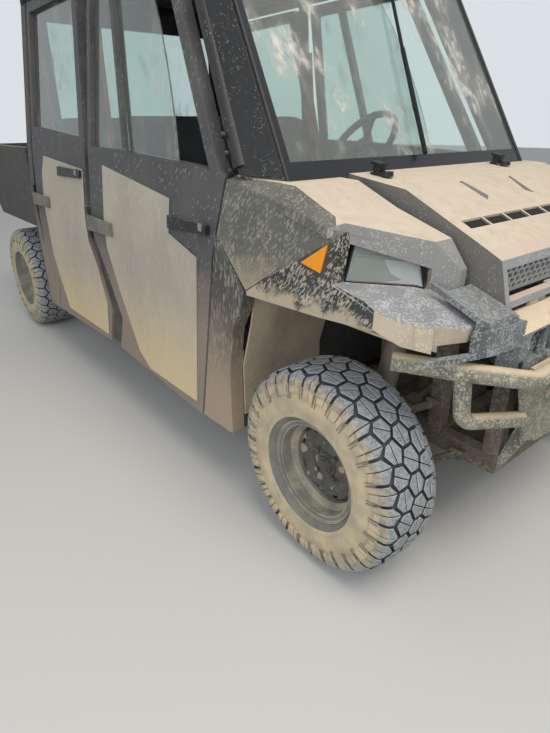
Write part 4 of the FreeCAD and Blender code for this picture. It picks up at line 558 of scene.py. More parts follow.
def from_bmesh(work: bmesh.types.BMesh, smooth: float | None = None) -> bpy.types.Mesh:
    """Turn a working mesh into a mesh.

    Args:
        work: the working mesh, which is used up.
        smooth: faces that meet at less than this angle, in degrees, are shaded as one.

    Returns:
        The mesh.
    """
    bmesh.ops.recalc_face_normals(work, faces=work.faces)
    if smooth is not None:
        for face in work.faces:
            face.smooth = True
        for edge in work.edges:
            if len(edge.link_faces) == 2 and edge.calc_face_angle(0.0) > math.radians(smooth):
                edge.smooth = False
    mesh = bpy.data.meshes.new("mesh")
    work.to_mesh(mesh)
    work.free()
    return mesh


def rounded(piece: bpy.types.Object, width_mm: float, segments: int = 2, angle: float = 28.0) -> None:
    """Break a piece's sharp edges with a small round and keep its flats flat.

    Args:
        piece: the piece.
        width_mm: the width of the broken edges.
        segments: how many flats make the round.
        angle: edges sharper than this are broken, in degrees.
    """
    bevel = piece.modifiers.new("edge_round", "BEVEL")
    bevel.width = width_mm * MM
    bevel.segments = segments
    bevel.limit_method = "ANGLE"
    bevel.angle_limit = math.radians(angle)
    bevel.harden_normals = True
    bevel.use_clamp_overlap = True


def cad_copy(node: str, weld: float = 0.00002, flat: float = 0.6) -> bmesh.types.BMesh:
    """Copy a CAD node to work on.

    Args:
        node: the CAD node.
        weld: corners nearer than this are welded.
        flat: faces that meet at less than this angle, in degrees, are joined.

    Returns:
        The working mesh.
    """
    work = bmesh.new()
    work.from_mesh(frame["nodes"][node].data)
    bmesh.ops.remove_doubles(work, verts=work.verts, dist=weld)
    bmesh.ops.dissolve_limit(work, angle_limit=math.radians(flat), verts=work.verts, edges=work.edges)
    return work


def dress(node: str, finish: Finish) -> None:
    """Give a CAD node its finish as it stands.

    Args:
        node: the CAD node.
        finish: its finish.
    """
    mesh = frame["nodes"][node].data
    mesh.materials.clear()
    mesh.materials.append(finish.build())
    LOG.info("%s as it stands: %d faces", node, len(mesh.polygons))


def painted(node: str, name: str, finishes: Sequence[Finish], width_mm: float,
            choose: Callable[[bmesh.types.BMFace], int], angle: float = 20.0) -> None:
    """Show a CAD node with softened edges and a finish for each of its regions.

    Args:
        node: the CAD node, which the piece stands for.
        name: the piece's name.
        finishes: its finishes.
        width_mm: the width of the broken edges.
        choose: gives a face its finish's number.
        angle: edges sharper than this are broken, in degrees.
    """
    work = cad_copy(node)
    work.normal_update()
    for face in work.faces:
        face.material_index = choose(face)
    body = frame["nodes"][node]["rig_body"]
    rounded(show(name, from_bmesh(work, 30.0), body, finishes, [node]), width_mm, angle=angle)


def soften(node: str, finish: Finish, width_mm: float = 3.0, angle: float = 28.0) -> None:
    """Show a CAD node with its edges broken, in one finish.

    Args:
        node: the CAD node, which the piece stands for.
        finish: its finish.
        width_mm: the width of the broken edges.
        angle: edges sharper than this are broken, in degrees.
    """
    painted(node, f"{node}_skin", [finish], width_mm, lambda face: 0, angle)


def joined(work: bmesh.types.BMesh, low: Sequence[bmesh.types.BMVert], high: Sequence[bmesh.types.BMVert],
           closed: bool = True, without: Sequence[int] = ()) -> list[bmesh.types.BMFace]:
    """Join two rows of corners by a strip of four-sided faces.

    Args:
        work: the working mesh.
        low: one row.
        high: the other row, of the same length.
        closed: whether the last corners join the first ones.
        without: the numbers of the faces that are left out.

    Returns:
        The new faces.
    """
    count = len(low)
    last = count if closed else count - 1
    steps = [(here, (here + 1) % count) for here in range(last) if here not in without]
    return [work.faces.new([low[here], low[after], high[after], high[here]]) for here, after in steps]


def refinish(work: bmesh.types.BMesh, start: int, number: int) -> None:
    """Give a working mesh's last faces another finish.

    Args:
        work: the working mesh.
        start: how many faces keep the one they have.
        number: the other finish's number.
    """
    work.faces.ensure_lookup_table()
    for face in work.faces[start:]:
        face.material_index = number


def add_plate(work: bmesh.types.BMesh, outline: Sequence[Point], depth: Point) -> None:
    """Add a flat plate to a working mesh.

    Args:
        work: the working mesh.
        outline: the corners of one of its faces.
        depth: the way and distance to its other face.
    """
    near = [work.verts.new(point) for point in outline]
    far = [work.verts.new(Vector(point) + Vector(depth)) for point in outline]
    work.faces.new(near)
    work.faces.new(far[::-1])
    joined(work, far, near)


def add_box(work: bmesh.types.BMesh, low: Point, high: Point, lean: float = 0.0) -> None:
    """Add a box to a working mesh.

    Args:
        work: the working mesh.
        low: its lowest corner.
        high: its highest corner.
        lean: how far it is turned forward about its middle, in degrees.
    """
    middle = (Vector(low) + Vector(high)) / 2
    size = Vector(high) - Vector(low)
    turn = Matrix.Rotation(math.radians(lean), 4, "Y")
    placed = Matrix.Translation(middle) @ turn @ Matrix.Diagonal((*size, 1))
    bmesh.ops.create_cube(work, size=1.0, matrix=placed)


def add_bar(work: bmesh.types.BMesh, start: Point, end: Point, radius: float, sides: int = 20,
            tip: float | None = None) -> None:
    """Add a round bar to a working mesh.

    Args:
        work: the working mesh.
        start: the middle of its one end.
        end: the middle of its other end.
        radius: its radius.
        sides: how many flats go round it.
        tip: the radius at its other end, if it tapers.
    """
    line = Vector(end) - Vector(start)
    turn = line.to_track_quat("Z", "Y").to_matrix().to_4x4()
    placed = Matrix.Translation((Vector(start) + Vector(end)) / 2) @ turn
    bmesh.ops.create_cone(work, cap_ends=True, segments=sides, radius1=radius,
                          radius2=radius if tip is None else tip, depth=line.length, matrix=placed)


def around(centre: Point, across: float, radius: float, turn: float) -> Point:
    """A point on a circle about an axle along Y.

    Args:
        centre: a point on the axle.
        across: how far the circle is from it, along the axle.
        radius: the circle's radius.
        turn: the angle from straight ahead, in radians.

    Returns:
        The point.
    """
    return (centre[0] + radius * math.cos(turn), centre[1] + across, centre[2] + radius * math.sin(turn))


def revolved(profile: Sequence[Pair], centre: Point, steps: int) -> bmesh.types.BMesh:
    """Turn a closed profile about an axle along Y.

    Args:
        profile: the cross section's points, as across and radius.
        centre: a point on the axle where across is nought.
        steps: how many steps make the full turn.

    Returns:
        The working mesh.
    """
    work = bmesh.new()
    rings = []
    for step in range(steps):
        turn = 2 * math.pi * step / steps
        rings.append([work.verts.new(around(centre, across, radius, turn)) for across, radius in profile])
    for here, after in zip(rings, [*rings[1:], rings[0]]):
        joined(work, here, after)
    bmesh.ops.remove_doubles(work, verts=work.verts, dist=0.00001)
    return work


# Wheels


def inset(outline: Sequence[Pair], gaps: Sequence[float]) -> list[Pair]:
    """Move each edge of a convex outline inward by its own gap, edge n running from corner n to the next.

    Args:
        outline: the corners, anticlockwise.
        gaps: one distance for each edge.

    Returns:
        The corners of the smaller outline.
    """
    lines = []
    for (x0, y0), (x1, y1), gap in zip(outline, [*outline[1:], outline[0]], gaps):
        length = math.hypot(x1 - x0, y1 - y0)
        across, along = (y1 - y0) / length, -(x1 - x0) / length
        lines.append((across, along, across * x0 + along * y0 - gap))
    corners = []
    for (a, b, c), (d, e, f) in zip([lines[-1], *lines[:-1]], lines):
        cross = a * e - b * d
        corners.append(((c * e - b * f) / cross, (a * f - c * d) / cross))
    return corners


class Rubber(IntEnum):
    """The parts of a tread block, by the number of their finish."""

    TOP = 0
    FLANK = 1
    EDGE = 2
    SHOULDER = 3
    WALL = 4


@dataclass
class Tyre:
    """One knobbly tyre: a carcass, and blocks cut from a net of uneven hexagons round its tread."""

    name: str
    body: str
    centre: Point
    width: float
    rim_width: float
    radius: float = 0.330
    rim_radius: float = 0.152
    tread_depth: float = 0.0125
    # how far the blocks reach down into the carcass
    root: float = 0.001
    pitches: int = 30
    groove: float = 0.0049
    sipe: float = 0.0015
    chamfer: float = 0.0017
    # how far a corner of the net may be off its place, how far the net passes half the width and
    # how deep its lines zigzag, as a share of the space between them
    shift: float = 0.0062
    wrap: float = 0.042
    zigzag: float = 0.17
    # how far a shoulder block passes half the width, how much longer each second one is, its slices
    shoulder_reach: float = 0.040
    shoulder_more: float = 0.012
    slices: int = 9
    # in from half the width, in from the radius: the tread's outer line
    tread_line: tuple[Pair, ...] = ((0.056, 0.0008), (0.030, 0.0070), (0.013, 0.020), (0.006, 0.036),
                                    (0.001, 0.070))
    # along the tread's line past half the width: the corners of its floor
    floor_line: tuple[float, ...] = (-0.056, -0.030, -0.010, 0.008, 0.026)
    # in from half the width, in from the radius: the wall with its fine ribs
    wall_line: tuple[Pair, ...] = ((0.001, 0.090), (0.0, 0.112), (0.003, 0.128), (0.0045, 0.1295),
                                   (0.0045, 0.133), (0.003, 0.1345), (0.006, 0.146), (0.009, 0.1475))
    # out from half the rim's width, out from the rim's radius: the rim guard and the bead
    bead_line: tuple[Pair, ...] = ((0.008, 0.022), (0.003, 0.018), (-0.006, 0.015), (-0.006, 0.0005))
    # ridges below the shoulder: their radius, lean as a share of the pitch, top and two foot depths
    rib_radius: float = 0.0013
    rib_lean: float = 0.09
    rib_top: Pair = (0.0025, 0.048)
    rib_feet: Pair = (0.080, 0.086)
    # in from the radius: where the dark floor, the wall, the blocks' grey tops and their mud end
    floor_end: float = 0.050
    wall_end: float = 0.1455
    top_end: float = 0.022
    block_end: float = 0.046

    def on_tread(self, run: float, height: float) -> Pair:
        """Follow the tread's line sideways and stand off its outer line.

        Args:
            run: the distance along the line from the tread's middle, with the side's sign.
            height: how far out of the line, inward if below nought.

        Returns:
            Across and radius.
        """
        half = self.width / 2
        line = [(0.0, self.radius), *[(half - side, self.radius - down) for side, down in self.tread_line]]
        left = abs(run)
        for (a, b), (c, d) in zip(line, line[1:]):
            length = math.hypot(c - a, d - b)
            if left <= length or (c, d) == line[-1]:
                share = left / length
                across, radius = a + (c - a) * share, b + (d - b) * share
                normal = ((b - d) / length, (c - a) / length)
                return math.copysign(across + normal[0] * height, run), radius + normal[1] * height
            left -= length
        return 0.0, self.radius

    def ring(self, work: bmesh.types.BMesh, points: Iterable[Point]) -> list[bmesh.types.BMVert]:
        """Add a row of corners on the tread.

        Args:
            work: the working mesh.
            points: for each, the arc length round the wheel, the distance along the tread's line from
                its middle and the height over it.

        Returns:
            The new corners.
        """
        corners = []
        for along, run, height in points:
            across, radius = self.on_tread(run, height)
            corners.append(work.verts.new(around(self.centre, across, radius, along / self.radius)))
        return corners

    def block(self, work: bmesh.types.BMesh, outline: Sequence[Pair]) -> None:
        """Add one block with dark flanks, scuffed edges and a grey top.

        Args:
            work: the working mesh.
            outline: its corners on the tread, as arc length and distance from the middle line.
        """
        top = inset(outline, [self.chamfer] * len(outline))
        rings = []
        foot = -self.tread_depth - self.root
        for row, height in ((outline, foot), (outline, -self.chamfer * 0.8), (top, 0.0)):
            rings.append(self.ring(work, [(along, run, height) for along, run in row]))
        for low, high, number in zip(rings, rings[1:], (Rubber.FLANK, Rubber.EDGE)):
            for face in joined(work, low, high):
                face.material_index = number
        work.faces.new(rings[-1])

    def split(self, outline: Sequence[Pair], first: int) -> list[list[Pair]]:
        """Cut a six-cornered cell in two by a sipe between two opposite edges, with grooves round it.

        Args:
            outline: the cell's corners.
            first: the number of the first of the two edges.

        Returns:
            The outlines of the two halves.
        """
        def middle(number: int) -> Pair:
            """The middle of an edge, by its number."""
            (x0, y0), (x1, y1) = outline[number % 6], outline[(number + 1) % 6]
            return x0 + (x1 - x0) * 0.5, y0 + (y1 - y0) * 0.5

        halves = []
        for number, other in ((first, first + 3), (first + 3, first)):
            corners = [middle(number), *[outline[(number + step) % 6] for step in (1, 2, 3)], middle(other)]
            halves.append(inset(corners, [self.groove] * 4 + [self.sipe]))
        return halves

    def net(self) -> list[list[Pair]]:
        """The corners of the net: four zigzag lines round the tread, each corner a little off its place."""
        chance = random.Random(self.name[:10])
        pitch = 2 * math.pi * self.radius / self.pitches
        step = (self.width / 2 + self.wrap) / 3.0
        lines = []
        for line, middle in enumerate((-1.5 * step, -0.5 * step, 0.5 * step, 1.5 * step)):
            corners = []
            for number in range(2 * self.pitches):
                bend = (1 if (number + line) % 2 else -1) * step * self.zigzag
                corners.append((pitch * number / 2 + chance.uniform(-1, 1) * self.shift,
                                middle + bend + chance.uniform(-1, 1) * self.shift * 0.6))
            lines.append(corners)
        return lines

    def tread(self) -> bmesh.types.BMesh:
        """All the blocks: three columns of six-cornered cells between two rows of shoulder blocks."""
        work = bmesh.new()
        lines = self.net()
        count = 2 * self.pitches
        whole = 2 * math.pi * self.radius

        def row(line: int, first: int) -> list[Pair]:
            """Three corners of a line that follow each other round the wheel.

            Args:
                line: the line's number.
                first: the first corner's number.

            Returns:
                Arc length and distance from the middle line, of each.
            """
            three = [(lines[line][number % count], number // count) for number in range(first, first + 3)]
            return [(along + whole * turns, run) for (along, run), turns in three]

        for column in range(3):
            for cell in range(self.pitches):
                first = 2 * cell + (0 if column % 2 else 1)
                outline = [*row(column, first), *row(column + 1, first)[::-1]]
                for half in self.split(outline, 1 if (cell + column) % 2 else 2):
                    self.block(work, half)
        for side, line in ((-1, 0), (1, 3)):
            for cell in range(self.pitches):
                self.shoulder(work, row(line, 2 * cell), side, self.shoulder_more if cell % 2 else 0.0)
        return work

    def shoulder(self, work: bmesh.types.BMesh, inner: Sequence[Pair], side: int, longer: float) -> None:
        """Add a shoulder block that wraps onto the sidewall, in two halves with a slot between them.

        Args:
            work: the working mesh.
            inner: the three corners of the net at the block's inner edge.
            side: one to the left, minus one to the right.
            longer: how much further down the wall it reaches.
        """
        end = self.width / 2 + self.shoulder_reach + longer
        (start, run_start), (middle, run_middle), (finish, run_finish) = [(a, abs(run)) for a, run in inner]
        root = -self.tread_depth - self.root
        for a, b, run_a, run_b in ((start + self.groove, middle - self.sipe, run_start, run_middle),
                                   (middle + self.sipe, finish - self.groove, run_middle, run_finish)):
            rings = []
            for step in range(self.slices + 1):
                share = step / self.slices
                near, far = [run + self.groove * 1.2 + (end - run) * share for run in (run_a, run_b)]
                near, far = side * near, side * far
                drop = {0: self.chamfer, self.slices: self.tread_depth * 0.7}.get(step, 0.0)
                rings.append(self.ring(work, (
                    (a, near, root), (a, near, -self.chamfer - drop), (a + self.chamfer, near, -drop),
                    (b - self.chamfer, far, -drop), (b, far, -self.chamfer - drop), (b, far, root))))
            across = (Rubber.FLANK, Rubber.EDGE, Rubber.TOP, Rubber.EDGE, Rubber.FLANK)
            for here, after in zip(rings, rings[1:]):
                for face, number in zip(joined(work, here, after, closed=False), across):
                    face.material_index = number
            for ends in (rings[0][::-1], rings[-1]):
                work.faces.new(ends).material_index = Rubber.EDGE

    def ribs(self) -> bmesh.types.BMesh:
        """Thin ridges that run from the shoulder's slots down onto the sidewall, in pairs."""
        work = bmesh.new()
        half = self.width / 2
        for side in (1, -1):
            for number in range(self.pitches):
                for lean in (-self.rib_lean, self.rib_lean):
                    turn = 2 * math.pi / self.pitches * (number + lean)
                    ends = [around(self.centre, side * (half - inward), self.radius - down, turn)
                            for inward, down in ((0.0, self.rib_feet[number % 2]), self.rib_top)]
                    add_bar(work, *ends, self.rib_radius, 6)
        return work

    def carcass(self) -> bmesh.types.BMesh:
        """The tyre's body under the blocks, with a bead and a rim guard between fine ribs."""
        half, rim_half = self.width / 2, self.rim_width / 2
        side = [self.on_tread(half + past, -self.tread_depth) for past in self.floor_line]
        side += [(half - inward, self.radius - down) for inward, down in self.wall_line]
        side += [(rim_half + outward, self.rim_radius + up) for outward, up in self.bead_line]
        middle = self.on_tread(0.0, -self.tread_depth)
        full = [(-across, radius) for across, radius in reversed(side)] + [middle] + side
        return revolved(full, self.centre, 132)

    def depth_of(self, face: bmesh.types.BMFace) -> float:
        """How far in from the tyre's radius a face's middle is."""
        middle = face.calc_center_median()
        return self.radius - math.hypot(middle.x - self.centre[0], middle.z - self.centre[2])

    def build(self) -> None:
        """Build the carcass, which stands for the CAD tyre, and the blocks and ribs on it."""
        work = self.carcass()
        for face in work.faces:
            depth = self.depth_of(face)
            face.material_index = 0 if depth < self.floor_end else (1 if depth < self.wall_end else 2)
        show(f"{self.name}_carcass", from_bmesh(work, 32.0), self.body, [TREAD_FLOOR, SIDEWALL, BEAD],
             [self.name])
        blocks = self.tread()
        for face in blocks.faces:
            depth = self.depth_of(face)
            if depth > self.block_end:
                face.material_index = Rubber.WALL
            elif depth > self.top_end and face.material_index != Rubber.FLANK:
                face.material_index = Rubber.SHOULDER
        show(f"{self.name}_blocks", from_bmesh(blocks, 30.0), self.body,
             [TREAD, TREAD_FLOOR, TREAD_EDGE, SHOULDER, SIDEWALL])
        show(f"{self.name}_ribs", from_bmesh(self.ribs(), 60.0), self.body, [BEAD])


@dataclass
class Rim:
    """One stamped steel wheel: barrel and lips, a dished disc with vent slots, hub cap and lug nuts."""

    name: str
    body: str
    centre: Point
    width: float
    outward: float
    face: float
    radius: float = 0.152
    sheet: float = 0.0035
    # in from the barrel's edge, out from the radius: a lip and the seat of the tyre's bead
    lip: tuple[Pair, ...] = ((0.0, 0.0155), (0.004, 0.016), (0.007, 0.010), (0.009, -0.001))
    # the same for the drop centre, to the right and to the left
    well: tuple[tuple[Pair, ...], ...] = (((0.045, -0.003), (0.060, -0.020)),
                                          ((0.042, -0.003), (0.060, -0.020)))
    # radius, rise over the face: the dish from its middle outward
    dish: tuple[Pair, ...] = (
        (0.030, 0.024), (0.050, 0.024), (0.058, 0.020), (0.070, 0.015), (0.082, 0.016), (0.094, 0.023),
        (0.104, 0.028), (0.116, 0.028), (0.126, 0.016), (0.1335, 0.003))
    dish_sheet: float = 0.004
    # how much the dish swells and dips four times round, between two radii
    swell: float = 0.0015
    swell_from: float = 0.055
    swell_to: float = 0.100
    # the vent slots: how many, and which step of the dish they are cut in
    vents: int = 8
    vent_step: int = 6
    # radius, start and end over the hub's foot, radius at the end: the hub, its cap and the cap's boss
    hub_steps: tuple[tuple[float, ...], ...] = (
        (0.043, 0.0, 0.010, 0.038), (0.030, 0.010, 0.017, 0.027), (0.021, 0.017, 0.022, 0.018))
    # how far the hub's foot stands over the face
    hub_foot: float = 0.020
    # the nuts: how many, the circle that they stand on, their radii, their ends over the hub's foot
    nuts: int = 4
    nut_circle: float = 0.050
    nut_radius: float = 0.0095
    nut_tip: float = 0.0082
    nut_span: Pair = (-0.004, 0.015)
    # the valve: its place ahead of and over the axle, and its length
    valve_place: Pair = (0.128, -0.032)
    valve_length: float = 0.024

    def barrel(self) -> bmesh.types.BMesh:
        """The rolled barrel with both lips and the drop centre."""
        half, radius = self.width / 2, self.radius
        line = [(-half + inward, radius + up) for inward, up in (*self.lip, *self.well[0])]
        line += [(half - inward, radius + up) for inward, up in reversed((*self.lip, *self.well[1]))]
        inner = [(across, out - self.sheet) for across, out in reversed(line)]
        return revolved(line + inner, self.centre, 96)

    def disc(self) -> bmesh.types.BMesh:
        """The dished disc: a raised middle, a well round it, a crown with the vents, a turned-in rim."""
        steps = self.vents * 8
        middle = (self.centre[0], self.face, self.centre[2])
        work = bmesh.new()
        grid = []
        for radius, rise in self.dish:
            ring = []
            for step in range(steps):
                turn = 2 * math.pi * (step + 0.5) / steps
                swell = self.swell * math.cos(4 * turn) if self.swell_from < radius < self.swell_to else 0.0
                ring.append(work.verts.new(around(middle, self.outward * (rise + swell), radius, turn)))
            grid.append(ring)
        slots = [step for step in range(steps) if step % 8 in (3, 4)]
        for level, (inner, outer) in enumerate(zip(grid, grid[1:])):
            joined(work, inner, outer, without=slots if level == self.vent_step else ())
        work.faces.new(grid[0])
        bmesh.ops.recalc_face_normals(work, faces=work.faces)
        bmesh.ops.solidify(work, geom=work.faces[:], thickness=self.dish_sheet)
        return work

    def hub(self) -> bmesh.types.BMesh:
        """The hub with its cap and the ring of nuts round it."""
        work = bmesh.new()
        foot = (self.centre[0], self.face + self.outward * self.hub_foot, self.centre[2])
        for radius, start, end, tip in self.hub_steps:
            ends = [around(foot, self.outward * reach, 0.0, 0.0) for reach in (start, end)]
            add_bar(work, *ends, radius, 32, tip)
        for number in range(self.nuts):
            turn = 2 * math.pi * (number + 0.5) / self.nuts
            ends = [around(foot, self.outward * reach, self.nut_circle, turn) for reach in self.nut_span]
            add_bar(work, *ends, self.nut_radius, 6, self.nut_tip)
        return work

    def valve(self) -> bmesh.types.BMesh:
        """The valve stem in the barrel's front."""
        work = bmesh.new()
        x, z = self.centre[0] + self.valve_place[0], self.centre[2] + self.valve_place[1]
        start = self.face - self.outward * 0.006
        add_bar(work, (x, start, z), (x, start + self.outward * self.valve_length, z), 0.0045, 12, 0.0035)
        return work

    def build(self) -> None:
        """Build the barrel and disc, which stand for the CAD rim, with the hub and valve beside them."""
        for part, work, finish, replaced in (("barrel", self.barrel(), RIM_LIP, [self.name]),
                                             ("disc", self.disc(), RIM_STEEL, [self.name]),
                                             ("hub", self.hub(), RIM_STEEL, []),
                                             ("valve", self.valve(), RUBBER_BOOT, [])):
            show(f"{self.name}_{part}", from_bmesh(work, 35.0), self.body, [finish], replaced)


@dataclass
class Wheels:
    """The four wheels."""

    front_width: float = 0.229
    rear_width: float = 0.279
    front_rim: float = 0.178
    rear_rim: float = 0.203
    span: float = 1.506
    face: float = 0.6365

    def build(self) -> None:
        """Build each wheel's tyre and rim."""
        for axle, place, width, rim in (("front", FRONT_AXLE, self.front_width, self.front_rim),
                                        ("rear", REAR_AXLE, self.rear_width, self.rear_rim)):
            for side, sign in SIDES:
                centre = (place, sign * (self.span - width) / 2, AXLE_HEIGHT)
                body = f"wheel_{axle}_{side}"
                Tyre(f"tyre_{axle}_{side}", body, centre, width, rim).build()
                Rim(f"rim_{axle}_{side}", body, centre, rim, sign, sign * self.face).build()


# Nose


def line_at(line: Sequence[Pair], along: float) -> float:
    """The height of a broken line at a place along the vehicle, level beyond its ends.

    Args:
        line: its points, as along and up.
        along: the place.

    Returns:
        The height.
    """
    if along <= line[0][0]:
        return line[0][1]
    for (x0, z0), (x1, z1) in zip(line, line[1:]):
        if along <= x1:
            return z0 + (z1 - z0) * (along - x0) / (x1 - x0)
    return line[-1][1]


class Fender(IntEnum):
    """The regions of a fender, by the number of their finish."""

    SIDE = 0
    TOP = 1
    FLARE = 2
    BROW = 3
    SHELF = 4
    CORNER = 5
    ARCH = 6


class Hood(IntEnum):
    """The regions of the hood, by the number of their finish."""

    FLANK = 0
    TOP = 1
    FRONT = 2
    FACET = 3


@dataclass
class Nose:
    """Hood, fenders, fascia, lamps, grilles and the brush guard."""

    hood_half: float = 0.410
    hood_nose: float = FRONT_AXLE + 0.350
    hood_break: float = FRONT_AXLE + 0.276
    nose_low: float = 0.868
    waist: float = 0.745
    shelf_height: float = 0.945
    # the flare's plane: the height of its upper edge at the waist, and how it leans
    flare_height: float = 0.834
    flare_lean: float = 0.2345
    flare_toe: float = 0.0102
    # along, up: the seam between the fender's side and its flare
    seam: tuple[Pair, ...] = (
        (FRONT_AXLE - 0.288, 0.837), (FRONT_AXLE - 0.176, 0.913), (FRONT_AXLE - 0.077, 0.977),
        (FRONT_AXLE + 0.021, 1.036))
    seam_radius: float = 0.0016
    # faces this far below the seam's line are the flare's
    seam_gap: float = 0.004
    # further out than this is the fender's outer wall, and its flare's outer part
    outer_wall: float = 0.685
    outer_flare: float = 0.60
    # ahead of the axle: where the outer wall ends, the brow starts, the corner starts, the flare ends
    wall_end: float = 0.062
    brow_start: float = 0.05
    corner_start: float = 0.200
    flare_end: float = 0.215
    corner_height: float = 0.915
    # the amber marker's plate: ahead of the axle and up, of each corner, and its thickness
    marker_corners: tuple[Pair, ...] = ((0.030, 1.031), (-0.094, 0.962), (0.021, 0.934))
    plate_depth: float = 0.006
    # a pull latch: the middle of its foot, and the boxes of foot, strap and grip with their lean
    latch: Point = (FRONT_AXLE - 0.150, 0.335, 1.153)
    latch_boxes: tuple[tuple[Point, Point, float], ...] = (
        ((-0.024, -0.015, 0.0), (0.024, 0.015, 0.006), 0.0),
        ((-0.016, -0.013, 0.005), (0.012, 0.013, 0.030), 14.0),
        ((-0.022, -0.018, 0.026), (0.014, 0.018, 0.034), 10.0))
    # ahead of the axle, across, up: the corners of a dark plate on the hood, painted shade of a rib
    scoop: tuple[Point, ...] = ((0.004, 0.144, 1.1318), (0.100, 0.137, 1.0878), (0.084, 0.111, 1.0953),
                                (0.008, 0.134, 1.1306))
    # the fascia's face, a rib's place, the lean and half width of each of its legs' feet, the half
    # width of their tops and the heights of both, then the places of clips and sockets
    fascia_face: float = FRONT_AXLE + 0.402
    rib_place: float = 0.222
    rib_legs: tuple[Pair, ...] = ((-0.034, 0.020), (0.052, 0.013))
    rib_half: float = 0.012
    rib_top: float = 0.812
    rib_foot: float = 0.712
    clip_place: float = 0.205
    socket_place: float = 0.386
    # the bar of painted highlight in a lamp: ahead of the axle, across and up, of both ends
    highlight_bar: tuple[Point, Point] = ((0.054, 0.646, 0.992), (0.142, 0.530, 0.975))
    shell_inset: float = 0.006
    gasket_radius: float = 0.0022

    def flare(self, along: float, up: float) -> float:
        """How far out the flare's plane stands.

        Args:
            along: the place along the vehicle.
            up: the height.

        Returns:
            The distance from the middle.
        """
        behind = along - FRONT_AXLE + 0.301
        return self.waist + self.flare_toe * behind - self.flare_lean * (up - self.flare_height)

    def fender_region(self, face: bmesh.types.BMFace) -> Fender:
        """Which region of a fender a face belongs to.

        Args:
            face: the face.

        Returns:
            The region.
        """
        middle, normal = face.calc_center_median(), face.normal
        ahead = middle.x - FRONT_AXLE
        above = middle.z > self.shelf_height
        outer = abs(middle.y) > self.outer_wall and above
        below_seam = middle.z < line_at(self.seam, middle.x) - self.seam_gap
        if normal.z < -0.5:
            return Fender.ARCH
        if outer and ahead < self.wall_end:
            return Fender.FLARE if below_seam else Fender.SIDE
        if outer and normal.x > 0.9:
            return Fender.FLARE
        if normal.z > 0.8:
            # faces up below the shelf's height take the shelf's grey, painted shade from the brow, not the
            # tops' coat
            return Fender.TOP if above else Fender.SHELF
        if ahead > self.corner_start and middle.z < self.corner_height:
            return Fender.CORNER
        if abs(normal.y) > 0.6:
            if ahead > self.brow_start and above:
                return Fender.BROW
            low = ahead < self.flare_end and below_seam and abs(middle.y) > self.outer_flare
            return Fender.FLARE if low else Fender.SIDE
        return Fender.BROW if ahead > 0.0 else Fender.SIDE

    def hood_region(self, face: bmesh.types.BMFace) -> Hood:
        """Which region of the hood a face belongs to.

        Args:
            face: the face.

        Returns:
            The region.
        """
        if abs(face.normal.y) > 0.7:
            return Hood.FLANK
        along = face.calc_center_median().x
        if along > self.hood_nose - 0.036:
            return Hood.FRONT
        return Hood.FACET if along > self.hood_break + 0.004 and face.normal.z > 0.3 else Hood.TOP

    def fascia_region(self, face: bmesh.types.BMFace) -> int:
        """Nought for the spattered moulding, one for the tan band over the mesh."""
        middle = face.calc_center_median()
        return 1 if middle.z > self.nose_low - 0.054 and abs(middle.y) < self.hood_half - 0.005 else 0

    def fitting_region(self, face: bmesh.types.BMFace) -> int:
        """Nought for the grille's mesh, one for the latch posts behind it."""
        return 1 if face.calc_center_median().x < FRONT_AXLE else 0

    def seams(self, sign: float) -> bmesh.types.BMesh:
        """The dark joint between the fender's side and its flare.

        Args:
            sign: one for left, minus one for right.

        Returns:
            The working mesh.
        """
        work = bmesh.new()
        points = [(x, sign * (self.flare(x, z) - 0.0006), z) for x, z in self.seam]
        for start, end in zip(points, points[1:]):
            add_bar(work, start, end, self.seam_radius, 8)
        return work

    def marker(self, sign: float) -> bmesh.types.BMesh:
        """The black plate under the amber marker, a little wider than it all round.

        Args:
            sign: one for left, minus one for right.

        Returns:
            The working mesh.
        """
        work = bmesh.new()
        places = [(FRONT_AXLE + along, up) for along, up in self.marker_corners]
        add_plate(work, [(x, sign * (self.flare(x, up) + 0.0004), up) for x, up in places],
                  (0.0, -sign * self.plate_depth, 0.0))
        return work

    def latches(self) -> bmesh.types.BMesh:
        """Two rubber pull latches at the hood's rear edge, each a strap with a raised grip over a foot."""
        work = bmesh.new()
        x, y, z = self.latch
        for sign in (1.0, -1.0):
            for low, high, lean in self.latch_boxes:
                add_box(work, (x + low[0], sign * y + low[1], z + low[2]),
                        (x + high[0], sign * y + high[1], z + high[2]), lean)
        return work

    def scoops(self) -> bmesh.types.BMesh:
        """Two slim dark plates set into the hood, painted shade on a rib's shaded side, leaning outward to
        the rear.
        """
        work = bmesh.new()
        for sign in (1.0, -1.0):
            corners = [(FRONT_AXLE + ahead, sign * across, up) for ahead, across, up in self.scoop]
            add_plate(work, corners, (0.0, 0.0, -self.plate_depth))
        return work

    def backing(self) -> None:
        """Dark plates inside the hood and the fascia, painted shade so the slots and meshes look deep."""
        work = bmesh.new()
        add_box(work, (FRONT_AXLE + 0.154, -0.366, 1.0415), (FRONT_AXLE + 0.202, 0.366, 1.0445), 24.5)
        add_box(work, (self.hood_nose - 0.100, -0.380, 0.880), (self.hood_nose - 0.096, 0.380, 0.962))
        show("hood_backing", from_bmesh(work), "hood_lid", [GAP_BLACK])
        work = bmesh.new()
        add_box(work, (FRONT_AXLE + 0.345, -0.350, 0.722), (FRONT_AXLE + 0.349, 0.350, 0.812))
        show("fascia_backing", from_bmesh(work), "chassis", [GAP_BLACK])

